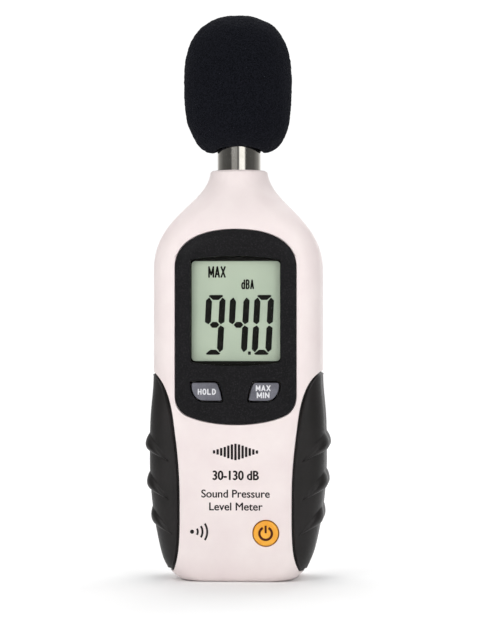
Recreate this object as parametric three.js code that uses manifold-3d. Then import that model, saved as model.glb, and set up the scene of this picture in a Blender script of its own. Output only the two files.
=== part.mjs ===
// Hand-held digital sound level meter, built as an assembly of separate pieces.
// Millimetres. +Z runs up the long axis to the microphone, the front face looks to -Y, and the
// origin is the centre of the base. The two case halves meet at y = 0.
import * as THREE from 'three';
import { mergeVertices } from 'three/addons/utils/BufferGeometryUtils.js';
import Module from 'manifold-3d';

const wasm = await Module();
wasm.setup();

// ---- driving dimensions -------------------------------------------------------------------

const GAP = 0.3; // clearance between pieces that touch

const CASE_TOP = 122.8;
const CASE_HALF_WIDTH = 25;
const CASE_FRONT = 14.5; // depth of the front face in front of the parting plane
const CASE_BACK = 15.5; // depth of the back face behind it
const CASE_CORNER = 7; // corner radius of the case's cross-section
const NECK_RADIUS = 8.6;
const WALL = 2.2;

const GRIP_PROUD = 0.6; // how far a grip stands out of the front and back faces
const GRIP_SINK = 1.0; // how deep it sits in the case
const GRIP_LOW = 3.3;
const GRIP_HIGH = 62.4;
const GRIP_SWELL = 1.1; // extra swell of its side at finger height
const RIB_HEIGHTS = [41.8, 30.4, 20.2];
const RIB_HALF_HEIGHT = 2.6;
const RIB_PROUD = 0.8;

const BEZEL_HALF_WIDTH = 17.95;
const BEZEL_LOW = 46.9;
const BEZEL_HIGH = 104.7;
const BEZEL_FRONT = 15.6;
const BEZEL_BACK = 13.6;
const LEDGE = 2.2; // ledge of the case under the bezel's rim

const DISPLAY_HALF_WIDTH = 13.15;
const DISPLAY_LOW = 65.7;
const DISPLAY_HIGH = 95.35;

const HOLDER = { halfWidth: 16, low: DISPLAY_LOW - 4.6, high: DISPLAY_HIGH + 1.6 };

const KEY_FRONT = 15.9;
const KEY_LOW = 54.0;
const KEY_HIGH = 59.3;
const KEY_MIDDLE = (KEY_LOW + KEY_HIGH) / 2;
const KEY_FLANGE_BACK = 12.2;
const POWER_KEY = { x: 9.0, z: 14.75, radius: 3.7, front: 15.2 };

const BOARD_FRONT = 8.6;
const BOARD_BACK = 7.0;

const BARREL_RADIUS = 6.55; // half-inch microphone barrel
const BARREL_BORE = 5.9;
const BARREL_LOW = 106;
const BARREL_HIGH = 138.6;

const FOAM_LOW = 129.0;
const FOAM_WAIST = 149;
const FOAM_TOP = 169.5;
const FOAM_RADIUS = 16.1;

const WELL = { halfWidth: 15.0, front: 6.5, low: 10.0, high: 65.4, wall: 1.2 };
const COVER = { halfWidth: 16, low: 11.4, high: 73.2, thickness: 1.6 };
const COVER_SCREW_Z = 70.0;
const TRIPOD_Z = 84;

const CASE_SCREWS = [
  { x: -19.6, z: 86 },
  { x: 19.6, z: 86 },
  { x: -18.8, z: 17 },
  { x: 18.8, z: 17 },
];
const BOARD_SCREWS = [
  { x: -18.6, z: 101 },
  { x: 18.6, z: 101 },
  { x: -18.4, z: 46.5 },
  { x: 18.4, z: 46.5 },
];

// ---- solids ---------------------------------------------------------------------------------

function solid(geometry) {
  geometry.deleteAttribute('normal');
  geometry.deleteAttribute('uv');
  const merged = mergeVertices(geometry, 1e-4);
  const mesh = new wasm.Mesh({
    numProp: 3,
    vertProperties: new Float32Array(merged.attributes.position.array),
    triVerts: new Uint32Array(merged.index.array),
  });
  mesh.merge();
  return new wasm.Manifold(mesh);
}

function geometryOf(manifold) {
  const mesh = manifold.getMesh();
  const geometry = new THREE.BufferGeometry();
  geometry.setAttribute('position', new THREE.BufferAttribute(mesh.vertProperties, 3));
  geometry.setIndex(new THREE.BufferAttribute(mesh.triVerts, 1));
  geometry.computeVertexNormals();
  return geometry;
}

function box(xLow, xHigh, yLow, yHigh, zLow, zHigh) {
  const geometry = new THREE.BoxGeometry(xHigh - xLow, yHigh - yLow, zHigh - zLow);
  geometry.translate((xLow + xHigh) / 2, (yLow + yHigh) / 2, (zLow + zHigh) / 2);
  return solid(geometry);
}

// A cylinder along Y.
function rod(x, z, radius, yLow, yHigh, sides = 16) {
  const geometry = new THREE.CylinderGeometry(radius, radius, yHigh - yLow, sides);
  geometry.translate(x, (yLow + yHigh) / 2, z);
  return solid(geometry);
}

// A cylinder along Z.
function post(x, y, radius, zLow, zHigh, sides = 16) {
  const geometry = new THREE.CylinderGeometry(radius, radius, zHigh - zLow, sides);
  geometry.rotateX(Math.PI / 2);
  geometry.translate(x, y, (zLow + zHigh) / 2);
  return solid(geometry);
}

// An outline drawn in the XZ plane, given thickness along Y.
function plate(outline, yLow, yHigh, curveSegments = 6) {
  const geometry = new THREE.ExtrudeGeometry(outline, {
    depth: yHigh - yLow,
    bevelEnabled: false,
    curveSegments,
  });
  geometry.rotateX(Math.PI / 2);
  geometry.translate(0, yHigh, 0);
  return solid(geometry);
}

// A profile of [radius, z] points turned about the Z axis.
function turned(profile, sides = 24) {
  const points = profile.map(([radius, z]) => new THREE.Vector2(radius, z));
  const geometry = new THREE.LatheGeometry(points, sides);
  geometry.rotateX(Math.PI / 2);
  return solid(geometry);
}

// A round wire of the given radius through a list of points.
function wire(points, radius, steps = 12, halfSides = 3) {
  const path = new THREE.CatmullRomCurve3(points.map((point) => new THREE.Vector3(...point)));
  const section = new THREE.Shape();
  section.absarc(0, 0, radius, 0, 2 * Math.PI);
  return solid(new THREE.ExtrudeGeometry(section, {
    steps,
    curveSegments: halfSides,
    extrudePath: path,
    bevelEnabled: false,
  }));
}

function roundedRectangle(halfWidth, low, high, radius) {
  const shape = new THREE.Shape();
  shape.moveTo(halfWidth - radius, low);
  shape.absarc(halfWidth - radius, low + radius, radius, -Math.PI / 2, 0);
  shape.absarc(halfWidth - radius, high - radius, radius, 0, Math.PI / 2);
  shape.absarc(radius - halfWidth, high - radius, radius, Math.PI / 2, Math.PI);
  shape.absarc(radius - halfWidth, low + radius, radius, Math.PI, 1.5 * Math.PI);
  return shape;
}

// ---- outline of the case ----------------------------------------------------------------------

// Reads a path drawn upwards in (distance from the axis, z) as a function of z.
function distanceAlong(path) {
  const points = path.getPoints(40);
  return (z) => {
    let next = 1;
    while (next < points.length - 1 && points[next].y < z) next += 1;
    const low = points[next - 1];
    const high = points[next];
    const share = THREE.MathUtils.clamp((z - low.y) / (high.y - low.y), 0, 1);
    return THREE.MathUtils.lerp(low.x, high.x, share);
  };
}

// Front view: a rounded foot, straight sides, and shoulders that sweep into the neck.
const widthPath = new THREE.Path();
widthPath.moveTo(15.0, 0);
widthPath.bezierCurveTo(17.6, 0.05, 20.8, 3.0, 22.2, 7.5);
widthPath.bezierCurveTo(23.3, 11, CASE_HALF_WIDTH, 19, CASE_HALF_WIDTH, 28);
widthPath.lineTo(CASE_HALF_WIDTH, 93);
widthPath.bezierCurveTo(CASE_HALF_WIDTH, 109, NECK_RADIUS, 112.7, NECK_RADIUS, CASE_TOP);
const halfWidthAt = distanceAlong(widthPath);

// Side view of one half: a rounded foot, a flat face, and a taper into the neck.
function depthPath(depth, flatEnd) {
  const path = new THREE.Path();
  path.moveTo(depth - 3.5, 0);
  path.bezierCurveTo(depth - 1.1, 0.3, depth, 3.5, depth, 8.5);
  path.lineTo(depth, flatEnd);
  path.bezierCurveTo(depth, 112, NECK_RADIUS, 114, NECK_RADIUS, CASE_TOP);
  return path;
}
const frontDepthAt = distanceAlong(depthPath(CASE_FRONT, 103));
const backDepthAt = distanceAlong(depthPath(CASE_BACK, 97));

function cornerAt(z) {
  const share = THREE.MathUtils.smoothstep(z, 96, CASE_TOP);
  return THREE.MathUtils.lerp(CASE_CORNER, NECK_RADIUS - 0.3, share);
}

// Corners of the cross-section counter-clockwise from the back right, as signs of x and y.
const CORNERS = [[1, 1], [-1, 1], [-1, -1], [1, -1]];

// A stack of rounded rectangular cross-sections at the given heights. section(z) gives the
// half-width, the depths to the front and back, and the corner radius.
function loft(heights, section, cornerSteps = 5) {
  const around = 4 * (cornerSteps + 1);
  const geometry = new THREE.CylinderGeometry(1, 1, 1, around, heights.length - 1);
  const position = geometry.attributes.position;
  for (let i = 0; i < position.count; i += 1) {
    const level = Math.round((position.getY(i) + 0.5) * (heights.length - 1));
    const z = heights[level];
    const { halfWidth, front, back, corner } = section(z);
    const onAxis = Math.hypot(position.getX(i), position.getZ(i)) < 0.5;
    if (onAxis) {
      position.setXYZ(i, 0, (back - front) / 2, z);
      continue;
    }
    const turn = (Math.atan2(-position.getZ(i), position.getX(i)) / (2 * Math.PI) + 1) % 1;
    const step = Math.round(turn * around) % around;
    const quarter = Math.floor(step / (cornerSteps + 1));
    const [sideX, sideY] = CORNERS[quarter];
    const angle = (quarter + (step % (cornerSteps + 1)) / cornerSteps) * (Math.PI / 2);
    const centreX = sideX * (halfWidth - corner);
    const centreY = sideY > 0 ? back - corner : corner - front;
    position.setXYZ(i, centreX + corner * Math.cos(angle), centreY + corner * Math.sin(angle), z);
  }
  return solid(geometry);
}

function range(low, high, count) {
  return Array.from({ length: count }, (_, i) => THREE.MathUtils.lerp(low, high, i / (count - 1)));
}

const CASE_HEIGHTS = [0, 0.4, 1.2, 2.6, 5, 8.5, 13, 19, 28, 93, ...range(97, 121, 9), CASE_TOP];
const CAVITY_TOP = 113.2;
const CAVITY_HEIGHTS = [2.4, 5, 9, 16, 28, 93, 99, 104, 108.5, CAVITY_TOP];
const FLOOR_HEIGHTS = [0, 1.2, 5, 8.5, 13, 19, 28, 93, 105, CASE_TOP];

function caseSection(inset) {
  return (z) => ({
    halfWidth: halfWidthAt(z) - inset,
    front: frontDepthAt(z) - inset,
    back: backDepthAt(z) - inset,
    corner: cornerAt(z) - inset,
  });
}

const FRONT_SIDE = box(-40, 40, -40, -GAP / 2, -10, 140);
const BACK_SIDE = box(-40, 40, GAP / 2, 40, -10, 140);

// ---- rubber grips -----------------------------------------------------------------------------

// Area of the right-hand grip in the front view, swollen by a margin for the seat in the case.
function gripOutline(margin) {
  const shape = new THREE.Shape();
  const high = GRIP_HIGH + margin;
  const low = GRIP_LOW - margin;
  shape.moveTo(32, high);
  shape.lineTo(CASE_HALF_WIDTH, high);
  shape.bezierCurveTo(20.6 - margin, high - 3.6, 19.1 - margin, 52.5, 18.4 - margin, 46.5);
  shape.bezierCurveTo(17.4 - margin, 39, 16.7 - margin, 33, 16.7 - margin, 24);
  shape.bezierCurveTo(16.7 - margin, 14, 16.5 - margin, 8, 18.8 - margin, low);
  shape.lineTo(32, low);
  shape.closePath();
  return shape;
}

function mirrored(manifold) {
  return manifold.mirror([1, 0, 0]);
}

// How far the grip stands out of the side at a height: a gentle swell and three ribs.
function gripSwellAt(z) {
  const fadeIn = THREE.MathUtils.smoothstep(z, 8, 34);
  const fadeOut = 1 - THREE.MathUtils.smoothstep(z, 44, 62);
  const swell = GRIP_SWELL * fadeIn * fadeOut;
  const ribs = RIB_HEIGHTS.map((rib) => {
    const away = Math.min(Math.abs(z - rib) / RIB_HALF_HEIGHT, 1);
    return RIB_PROUD * Math.cos((away * Math.PI) / 2) ** 2;
  });
  return GRIP_PROUD + swell + Math.max(...ribs);
}

const GRIP_HEIGHTS = [
  1, 3, 6, 10, 14,
  ...[...RIB_HEIGHTS].reverse().flatMap((rib) => range(rib - RIB_HALF_HEIGHT, rib + RIB_HALF_HEIGHT, 5)),
  48, 54, 60, 66,
];

function gripSection(z) {
  return {
    halfWidth: halfWidthAt(z) + gripSwellAt(z),
    front: frontDepthAt(z) + GRIP_PROUD,
    back: backDepthAt(z) + GRIP_PROUD,
    corner: cornerAt(z),
  };
}

const caseOuter = loft(CASE_HEIGHTS, caseSection(0));
const gripFloor = loft(FLOOR_HEIGHTS, caseSection(GRIP_SINK));
const gripBack = loft(FLOOR_HEIGHTS, caseSection(GRIP_SINK - GAP));
const gripSkin = loft(GRIP_HEIGHTS, gripSection).subtract(gripBack);
const rightGrips = gripSkin.intersect(plate(gripOutline(0), -30, 30));
const rightSeat = plate(gripOutline(GAP), -30, 30).subtract(gripFloor);
const gripSeats = rightSeat.add(mirrored(rightSeat));

// ---- bezel and keys ---------------------------------------------------------------------------

// Arched top, straight sides, small lower corners and a broad arc along the bottom.
function bezelOutline(inset) {
  const w = BEZEL_HALF_WIDTH - inset;
  const top = BEZEL_HIGH - inset;
  const bottom = BEZEL_LOW + inset;
  const shape = new THREE.Shape();
  shape.moveTo(0, bottom);
  shape.bezierCurveTo(5.5, bottom, 10.5 - inset, bottom + 0.9, 14.3 - inset, bottom + 2.5);
  shape.bezierCurveTo(16.6 - inset, bottom + 3.5, w, bottom + 5.6, w, bottom + 8.6);
  shape.lineTo(w, 93.5);
  shape.bezierCurveTo(w, top - 4.2, 11.5, top, 0, top);
  shape.bezierCurveTo(-11.5, top, -w, top - 4.2, -w, 93.5);
  shape.lineTo(-w, bottom + 8.6);
  shape.bezierCurveTo(-w, bottom + 5.6, inset - 16.6, bottom + 3.5, inset - 14.3, bottom + 2.5);
  shape.bezierCurveTo(inset - 10.5, bottom + 0.9, -5.5, bottom, 0, bottom);
  return shape;
}

// Outline of the right-hand key: the inner side leans out to the top, the outer lower corner is
// a large curve. A positive margin makes it bigger all round.
function keyOutline(margin) {
  const inner = 3.95 - margin;
  const outer = 12.95 + margin;
  const low = KEY_LOW - margin;
  const high = KEY_HIGH + margin;
  const shape = new THREE.Shape();
  shape.moveTo(inner, low);
  shape.lineTo(9.4, low);
  shape.bezierCurveTo(11.7, low, outer, KEY_LOW + 2.3, outer, KEY_HIGH - 0.9);
  shape.lineTo(outer, high);
  shape.lineTo(5.6 - margin, high);
  shape.bezierCurveTo(4.9 - margin, 58.2, 4.5 - margin, 56.8, inner, low);
  return shape;
}

function makeKey() {
  const cap = plate(keyOutline(0), -KEY_FRONT, -KEY_FLANGE_BACK);
  const flange = plate(keyOutline(0.8), -KEY_FLANGE_BACK - 1.0, -KEY_FLANGE_BACK);
  return cap.add(flange);
}

function makeBezel() {
  const view = roundedRectangle(DISPLAY_HALF_WIDTH, DISPLAY_LOW, DISPLAY_HIGH, 1);
  const window = plate(view, -20, 0, 2);
  const windowSeat = box(-15.6, 15.6, -14.6, 0, DISPLAY_LOW - 2.3, DISPLAY_HIGH + 2.3);
  const keyHole = plate(keyOutline(GAP), -20, 0);
  return plate(bezelOutline(0), -BEZEL_FRONT, -BEZEL_BACK, 10)
    .subtract(window)
    .subtract(windowSeat)
    .subtract(keyHole)
    .subtract(mirrored(keyHole));
}

function makePowerKey() {
  const { x, z, radius, front } = POWER_KEY;
  return rod(x, z, radius, -front, -11.4, 24).add(rod(x, z, radius + 1.0, -12.0, -11.4, 24));
}

function makeDome(x, z, radius, front, back) {
  const geometry = new THREE.CylinderGeometry(radius, radius * 0.55, back - front, 12);
  geometry.translate(x, (front + back) / 2, z);
  return solid(geometry);
}

// ---- case halves ------------------------------------------------------------------------------

function screwPosts(places, radius, yLow, yHigh) {
  const posts = places.map(({ x, z }) => rod(x, z, radius, yLow, yHigh, 12));
  return posts.reduce((all, one) => all.add(one));
}

const cavity = loft(CAVITY_HEIGHTS, caseSection(WALL), 4);
const barrelBore = post(0, 0, BARREL_RADIUS + GAP, 100, 130, 24);
const shell = caseOuter.subtract(gripSeats).subtract(cavity).subtract(barrelBore);

function makeFrontCase() {
  const caseTowers = screwPosts(CASE_SCREWS, 2.7, -13, -GAP / 2);
  const boardTowers = screwPosts(BOARD_SCREWS, 2.1, -13, -BOARD_FRONT - GAP);
  const inside = caseTowers.add(boardTowers).intersect(gripFloor);
  const bezelSeat = plate(bezelOutline(-GAP), -20, -(BEZEL_BACK - GAP), 10);
  const bezelOpening = plate(bezelOutline(LEDGE), -20, -11, 6);
  const holderSide = HOLDER.halfWidth + GAP;
  const holderOpening = box(-holderSide, holderSide, -20, -11, HOLDER.low - GAP, HOLDER.high + GAP);
  const powerHole = rod(POWER_KEY.x, POWER_KEY.z, POWER_KEY.radius + GAP, -20, -11, 24);
  return shell
    .intersect(FRONT_SIDE)
    .add(inside)
    .subtract(bezelSeat)
    .subtract(bezelOpening)
    .subtract(holderOpening)
    .subtract(powerHole)
    .subtract(screwPosts(CASE_SCREWS, 1.5, -9, 1))
    .subtract(screwPosts(BOARD_SCREWS, 1.1, -11.4, 0));
}

function makeRearCase() {
  const { halfWidth, front, low, high, wall } = WELL;
  const wellOuter = box(-halfWidth, halfWidth, -front, CASE_BACK - 1, low, high);
  const wellInner = box(wall - halfWidth, halfWidth - wall, wall - front, 20, low + wall, high - wall);
  const leadSlot = box(-6, 6, -2, 6, high - wall - 1, high + 1);
  const towers = screwPosts(CASE_SCREWS, 3.6, GAP / 2, CASE_BACK - 1).intersect(gripFloor);
  const coverTower = rod(0, COVER_SCREW_Z, 3, 5, CASE_BACK - 1);
  const tripodTower = rod(0, TRIPOD_Z, 7, 5, CASE_BACK - 1, 20);
  const coverSeat = plate(
    roundedRectangle(COVER.halfWidth + GAP, COVER.low - GAP, COVER.high + GAP, 2.5),
    CASE_BACK - COVER.thickness - GAP,
    20,
    3,
  );
  return shell
    .intersect(BACK_SIDE)
    .add(wellOuter)
    .add(towers)
    .add(coverTower)
    .add(tripodTower)
    .subtract(wellInner)
    .subtract(leadSlot)
    .subtract(coverSeat)
    .subtract(rod(0, COVER_SCREW_Z, 1.4, 7, 20, 12))
    .subtract(rod(0, TRIPOD_Z, 4.9, 6.5, 20, 20))
    .subtract(screwPosts(CASE_SCREWS, 1.6, -1, 20))
    .subtract(screwPosts(CASE_SCREWS, 2.7, 6, 20));
}

function makeCover() {
  const { halfWidth, low, high, thickness } = COVER;
  const outline = roundedRectangle(halfWidth, low, high, 2.2);
  const outer = plate(outline, CASE_BACK - thickness, CASE_BACK - 0.1, 3);
  const labelSeat = plate(roundedRectangle(12.3, 21.7, 52.3, 1), CASE_BACK - 0.7, 20, 2);
  return outer
    .subtract(labelSeat)
    .subtract(rod(0, COVER_SCREW_Z, 1.6, 0, 20, 12))
    .subtract(rod(0, COVER_SCREW_Z, 2.6, CASE_BACK - 0.9, 20, 12));
}

// A pan-head screw along Y with its head towards the back and a cross-slot in it.
function makeScrew({ x, z }, head, headFrom, headTo, shank, shankFrom) {
  const slot = box(x - head * 0.6, x + head * 0.6, headTo - 0.6, 40, z - 0.3, z + 0.3)
    .add(box(x - 0.3, x + 0.3, headTo - 0.6, 40, z - head * 0.6, z + head * 0.6));
  return rod(x, z, head, headFrom, headTo, 12)
    .add(rod(x, z, shank, shankFrom, headFrom + 0.1, 8))
    .subtract(slot);
}

// ---- microphone -------------------------------------------------------------------------------

function makeBarrel() {
  return turned([
    [BARREL_BORE, BARREL_LOW],
    [BARREL_RADIUS, BARREL_LOW],
    [BARREL_RADIUS, 110.6],
    [8.0, 110.6],
    [8.0, 112.6],
    [BARREL_RADIUS, 112.6],
    [BARREL_RADIUS, BARREL_HIGH],
    [BARREL_BORE, BARREL_HIGH],
    [BARREL_BORE, BARREL_LOW],
  ]);
}

function makeGrid() {
  const cap = turned([
    [0, 140.2],
    [5.7, 140.2],
    [5.7, BARREL_HIGH + GAP],
    [BARREL_RADIUS, BARREL_HIGH + GAP],
    [BARREL_RADIUS, 140.8],
    [6.1, 141.2],
    [0, 141.2],
  ]);
  const holes = range(0, 300, 6).map((degrees) => {
    const angle = THREE.MathUtils.degToRad(degrees);
    return post(3.6 * Math.cos(angle), 3.6 * Math.sin(angle), 1.1, 139, 143, 6);
  });
  return holes.reduce((grid, hole) => grid.subtract(hole), cap);
}

// Egg-shaped foam with a blind bore that fits over the barrel.
function makeWindscreen() {
  const profile = new THREE.Path();
  profile.moveTo(BARREL_RADIUS + GAP, FOAM_LOW + 0.9);
  profile.lineTo(10.2, FOAM_LOW);
  profile.bezierCurveTo(14.1, FOAM_LOW + 3.2, FOAM_RADIUS, FOAM_WAIST - 10.5, FOAM_RADIUS, FOAM_WAIST);
  profile.bezierCurveTo(FOAM_RADIUS, FOAM_WAIST + 14.5, 11.5, FOAM_TOP, 0, FOAM_TOP);
  const outside = profile.getPoints(8).map((point) => [point.x, point.y]);
  return turned([[0, 141.6], [BARREL_RADIUS + GAP, 141.6], ...outside], 20);
}

// ---- electronics ------------------------------------------------------------------------------

function makeBoard() {
  const shape = new THREE.Shape();
  shape.moveTo(19.0, 8);
  shape.lineTo(21.4, 22);
  shape.lineTo(21.4, 95);
  shape.lineTo(19.8, 103);
  shape.lineTo(12, 109.4);
  shape.lineTo(-12, 109.4);
  shape.lineTo(-19.8, 103);
  shape.lineTo(-21.4, 95);
  shape.lineTo(-21.4, 22);
  shape.lineTo(-19.0, 8);
  shape.closePath();
  return plate(shape, -BOARD_FRONT, -BOARD_BACK)
    .subtract(screwPosts(CASE_SCREWS, 3.1, -20, 0))
    .subtract(screwPosts(BOARD_SCREWS, 1.2, -20, 0));
}

function makeHolder() {
  const { halfWidth, low, high } = HOLDER;
  const back = -BOARD_FRONT - GAP;
  const opening = box(1 - halfWidth, halfWidth - 1, -20, 0, DISPLAY_LOW - 3.4, DISPLAY_HIGH + 0.9);
  return box(-halfWidth, halfWidth, -13, back, low, high).subtract(opening);
}

function makeChip(x, z, halfWidth, halfHeight, thickness) {
  const back = -BOARD_BACK + GAP;
  const low = z - halfHeight;
  const high = z + halfHeight;
  const body = box(x - halfWidth, x + halfWidth, back + 0.2, back + thickness, low, high);
  const reach = halfWidth + 0.9;
  return body.add(box(x - reach, x + reach, back, back + 0.3, low + 0.4, high - 0.4));
}

// ---- assembly ---------------------------------------------------------------------------------

const meter = new THREE.Group();

function material(color, roughness, metalness = 0) {
  return new THREE.MeshStandardMaterial({ color, roughness, metalness });
}

function addPart(name, manifold, color, roughness, metalness) {
  const mesh = new THREE.Mesh(geometryOf(manifold), material(color, roughness, metalness));
  mesh.name = name;
  meter.add(mesh);
}

const IVORY = '#f3ecea';
const RUBBER = '#2f2b2b';
const CHARCOAL = '#2a292c';
const KEY_GREY = '#77788a';
const ORANGE = '#f5a623';
const STEEL = '#b9bcc0';
const NICKEL = '#c9c6c0';
const BLACK = '#16161a';
const SILICONE = '#c9c4bd';
const BOARD_GREEN = '#1f5a38';

addPart('front_case', makeFrontCase(), IVORY, 0.45);
addPart('rear_case', makeRearCase(), IVORY, 0.45);

const rearGrips = rightGrips.intersect(BACK_SIDE);
const gripScrewHole = rod(CASE_SCREWS[3].x, CASE_SCREWS[3].z, 2.7, 0, 30, 12);
const gripPieces = {
  right_grip_front: rightGrips.intersect(FRONT_SIDE),
  right_grip_rear: rearGrips.subtract(gripScrewHole),
};
for (const [name, piece] of Object.entries(gripPieces)) {
  addPart(name, piece, RUBBER, 0.7);
  addPart(name.replace('right', 'left'), mirrored(piece), RUBBER, 0.7);
}

addPart('display_bezel', makeBezel(), CHARCOAL, 0.6);
const windowPlate = box(-15.3, 15.3, -14.3, -13.3, DISPLAY_LOW - 2, DISPLAY_HIGH + 2);
addPart('display_window', windowPlate, '#dfe6e2', 0.05);
const lcdPanel = box(-14.7, 14.7, -12.9, -11.1, DISPLAY_LOW - 3.1, DISPLAY_HIGH + 0.6);
addPart('lcd_panel', lcdPanel, '#b9c8b2', 0.3);
addPart('lcd_holder', makeHolder(), '#e8e6e0', 0.5);
const stripHeights = { lower: DISPLAY_LOW - 1.8, upper: DISPLAY_HIGH - 0.6 };
for (const [side, z] of Object.entries(stripHeights)) {
  const strip = box(-14.2, 14.2, -10.8, -BOARD_FRONT - GAP, z - 0.9, z + 0.9);
  addPart(`${side}_contact_strip`, strip, '#d9a9a9', 0.6);
}

const keyPiece = makeKey();
addPart('max_min_button', keyPiece, KEY_GREY, 0.5);
addPart('hold_button', mirrored(keyPiece), KEY_GREY, 0.5);
addPart('power_button', makePowerKey(), ORANGE, 0.4);

const matBack = -BOARD_FRONT - GAP;
addPart('key_mat', box(-14.5, 14.5, -9.9, matBack, KEY_LOW - 1, KEY_HIGH + 1), SILICONE, 0.7);
const powerMat = rod(POWER_KEY.x, POWER_KEY.z, 5.2, -9.5, matBack, 20);
addPart('power_key_mat', powerMat, SILICONE, 0.7);
const domePlaces = {
  hold_dome: { x: -8.4, z: KEY_MIDDLE, front: -11.9, back: -10.2 },
  max_min_dome: { x: 8.4, z: KEY_MIDDLE, front: -11.9, back: -10.2 },
  power_dome: { x: POWER_KEY.x, z: POWER_KEY.z, front: -11.1, back: -9.8 },
};
for (const [name, { x, z, front, back }] of Object.entries(domePlaces)) {
  addPart(name, makeDome(x, z, 2.2, front, back), SILICONE, 0.7);
}

addPart('main_board', makeBoard(), BOARD_GREEN, 0.4);
addPart('processor_chip', makeChip(0, 82, 5, 5, 1.6), BLACK, 0.5);
addPart('amplifier_chip', makeChip(-11, 95, 2, 2.6, 1.6), BLACK, 0.5);
const chipFace = -BOARD_BACK + GAP;
const crystalBody = roundedRectangle(5.2, 70.5, 74.5, 1.9);
addPart('crystal', plate(crystalBody, chipFace, chipFace + 3.5, 3), STEEL, 0.3, 1);
const capacitorPlaces = { filter_capacitor: { x: 13, z: 74 }, output_capacitor: { x: 13, z: 95 } };
for (const [name, { x, z }] of Object.entries(capacitorPlaces)) {
  addPart(name, rod(x, z, 2.5, chipFace, chipFace + 6.5, 16), '#2b3350', 0.4);
}
const trimmerBody = box(-15.4, -9.4, chipFace, chipFace + 4.2, 73, 79);
const trimmerScrew = rod(-12.4, 76, 1.6, chipFace + 4, chipFace + 5, 12);
addPart('calibration_trimmer', trimmerBody.add(trimmerScrew), '#2f6fb0', 0.4);

addPart('microphone_barrel', makeBarrel(), NICKEL, 0.15, 1);
const sleeve = turned([[5.15, 128], [5.6, 128], [5.6, 138.2], [5.15, 138.2], [5.15, 128]]);
addPart('capsule_sleeve', sleeve, BLACK, 0.6);
addPart('microphone_capsule', post(0, 0, 4.85, 131.5, 138.2, 20), STEEL, 0.3, 1);
addPart('microphone_grid', makeGrid(), NICKEL, 0.2, 1);
const leadColours = { signal_wire: '#d8d4c8', ground_wire: '#3a3a3a' };
for (const [index, [name, color]] of Object.entries(leadColours).entries()) {
  const side = index === 0 ? 1 : -1;
  const route = [
    [side * 1.6, 0, 131.1],
    [side * 1.8, 0, 120],
    [side * 2.0, -0.6, 109],
    [side * 2.4, -2.4, 104],
    [side * 2.6, -5.0, 101.4],
    [side * 2.6, -6.6, 100.6],
  ];
  addPart(name, wire(route, 0.5), color, 0.5);
}
addPart('windscreen', makeWindscreen(), '#15161c', 1.0);

const BATTERY = { halfWidth: 13.25, low: 11.6, high: 57.8, front: -5.0, back: 12.4 };
const batteryOutline = roundedRectangle(BATTERY.halfWidth, BATTERY.low, BATTERY.high, 1);
addPart('battery', plate(batteryOutline, BATTERY.front, BATTERY.back, 2), '#3b4a5c', 0.4, 0.3);
const terminalFoot = BATTERY.high + GAP;
addPart('positive_terminal', post(-6.4, 3.7, 2.9, terminalFoot, terminalFoot + 1.7, 12), STEEL, 0.3, 1);
addPart('negative_terminal', post(6.4, 3.7, 4.0, terminalFoot, terminalFoot + 1.7, 6), STEEL, 0.3, 1);
const snapFoot = terminalFoot + 1.7 + GAP;
addPart('snap_connector', box(-12.4, 12.4, -2.3, 9.7, snapFoot, snapFoot + 3), BLACK, 0.6);
const powerLeads = { red_lead: { x: -3, color: '#b3201d' }, black_lead: { x: 3, color: BLACK } };
for (const [name, { x, color }] of Object.entries(powerLeads)) {
  const route = [
    [x, 3.0, snapFoot + 3.4],
    [x, 2.6, snapFoot + 6.0],
    [x * 1.1, -1.2, snapFoot + 8.4],
    [x * 1.2, -4.4, snapFoot + 8.6],
    [x * 1.2, -6.6, snapFoot + 8.2],
  ];
  addPart(name, wire(route, 0.6), color, 0.5);
}
const padBack = CASE_BACK - COVER.thickness - GAP;
addPart('battery_pad', box(-9, 9, BATTERY.back + GAP, padBack, 18, 52), '#2c2c30', 0.9);

addPart('battery_cover', makeCover(), IVORY, 0.45);
const labelPlate = plate(roundedRectangle(12, 22, 52, 0.8), CASE_BACK - 0.4, CASE_BACK - 0.1, 2);
addPart('rating_label', labelPlate, '#d7d9da', 0.5);
const coverScrew = makeScrew({ x: 0, z: COVER_SCREW_Z }, 2.2, CASE_BACK - 0.6, CASE_BACK - 0.1, 1.1, 9);
addPart('battery_cover_screw', coverScrew, STEEL, 0.3, 1);

CASE_SCREWS.forEach((place, i) => {
  addPart(`case_screw_${i + 1}`, makeScrew(place, 2.4, 6.3, 8.2, 1.2, -8), STEEL, 0.3, 1);
});
BOARD_SCREWS.forEach((place, i) => {
  const head = -BOARD_BACK + GAP;
  addPart(`board_screw_${i + 1}`, makeScrew(place, 1.9, head, head + 1.3, 0.8, -11), STEEL, 0.3, 1);
});

const insert = rod(0, TRIPOD_Z, 4.6, 7, CASE_BACK - 0.1, 20).subtract(rod(0, TRIPOD_Z, 3.1, 9, 20, 16));
addPart('tripod_insert', insert, '#b8934a', 0.35, 1);

export default meter;
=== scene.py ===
import math

import bmesh
import bpy
import numpy as np
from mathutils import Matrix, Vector, noise


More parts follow.
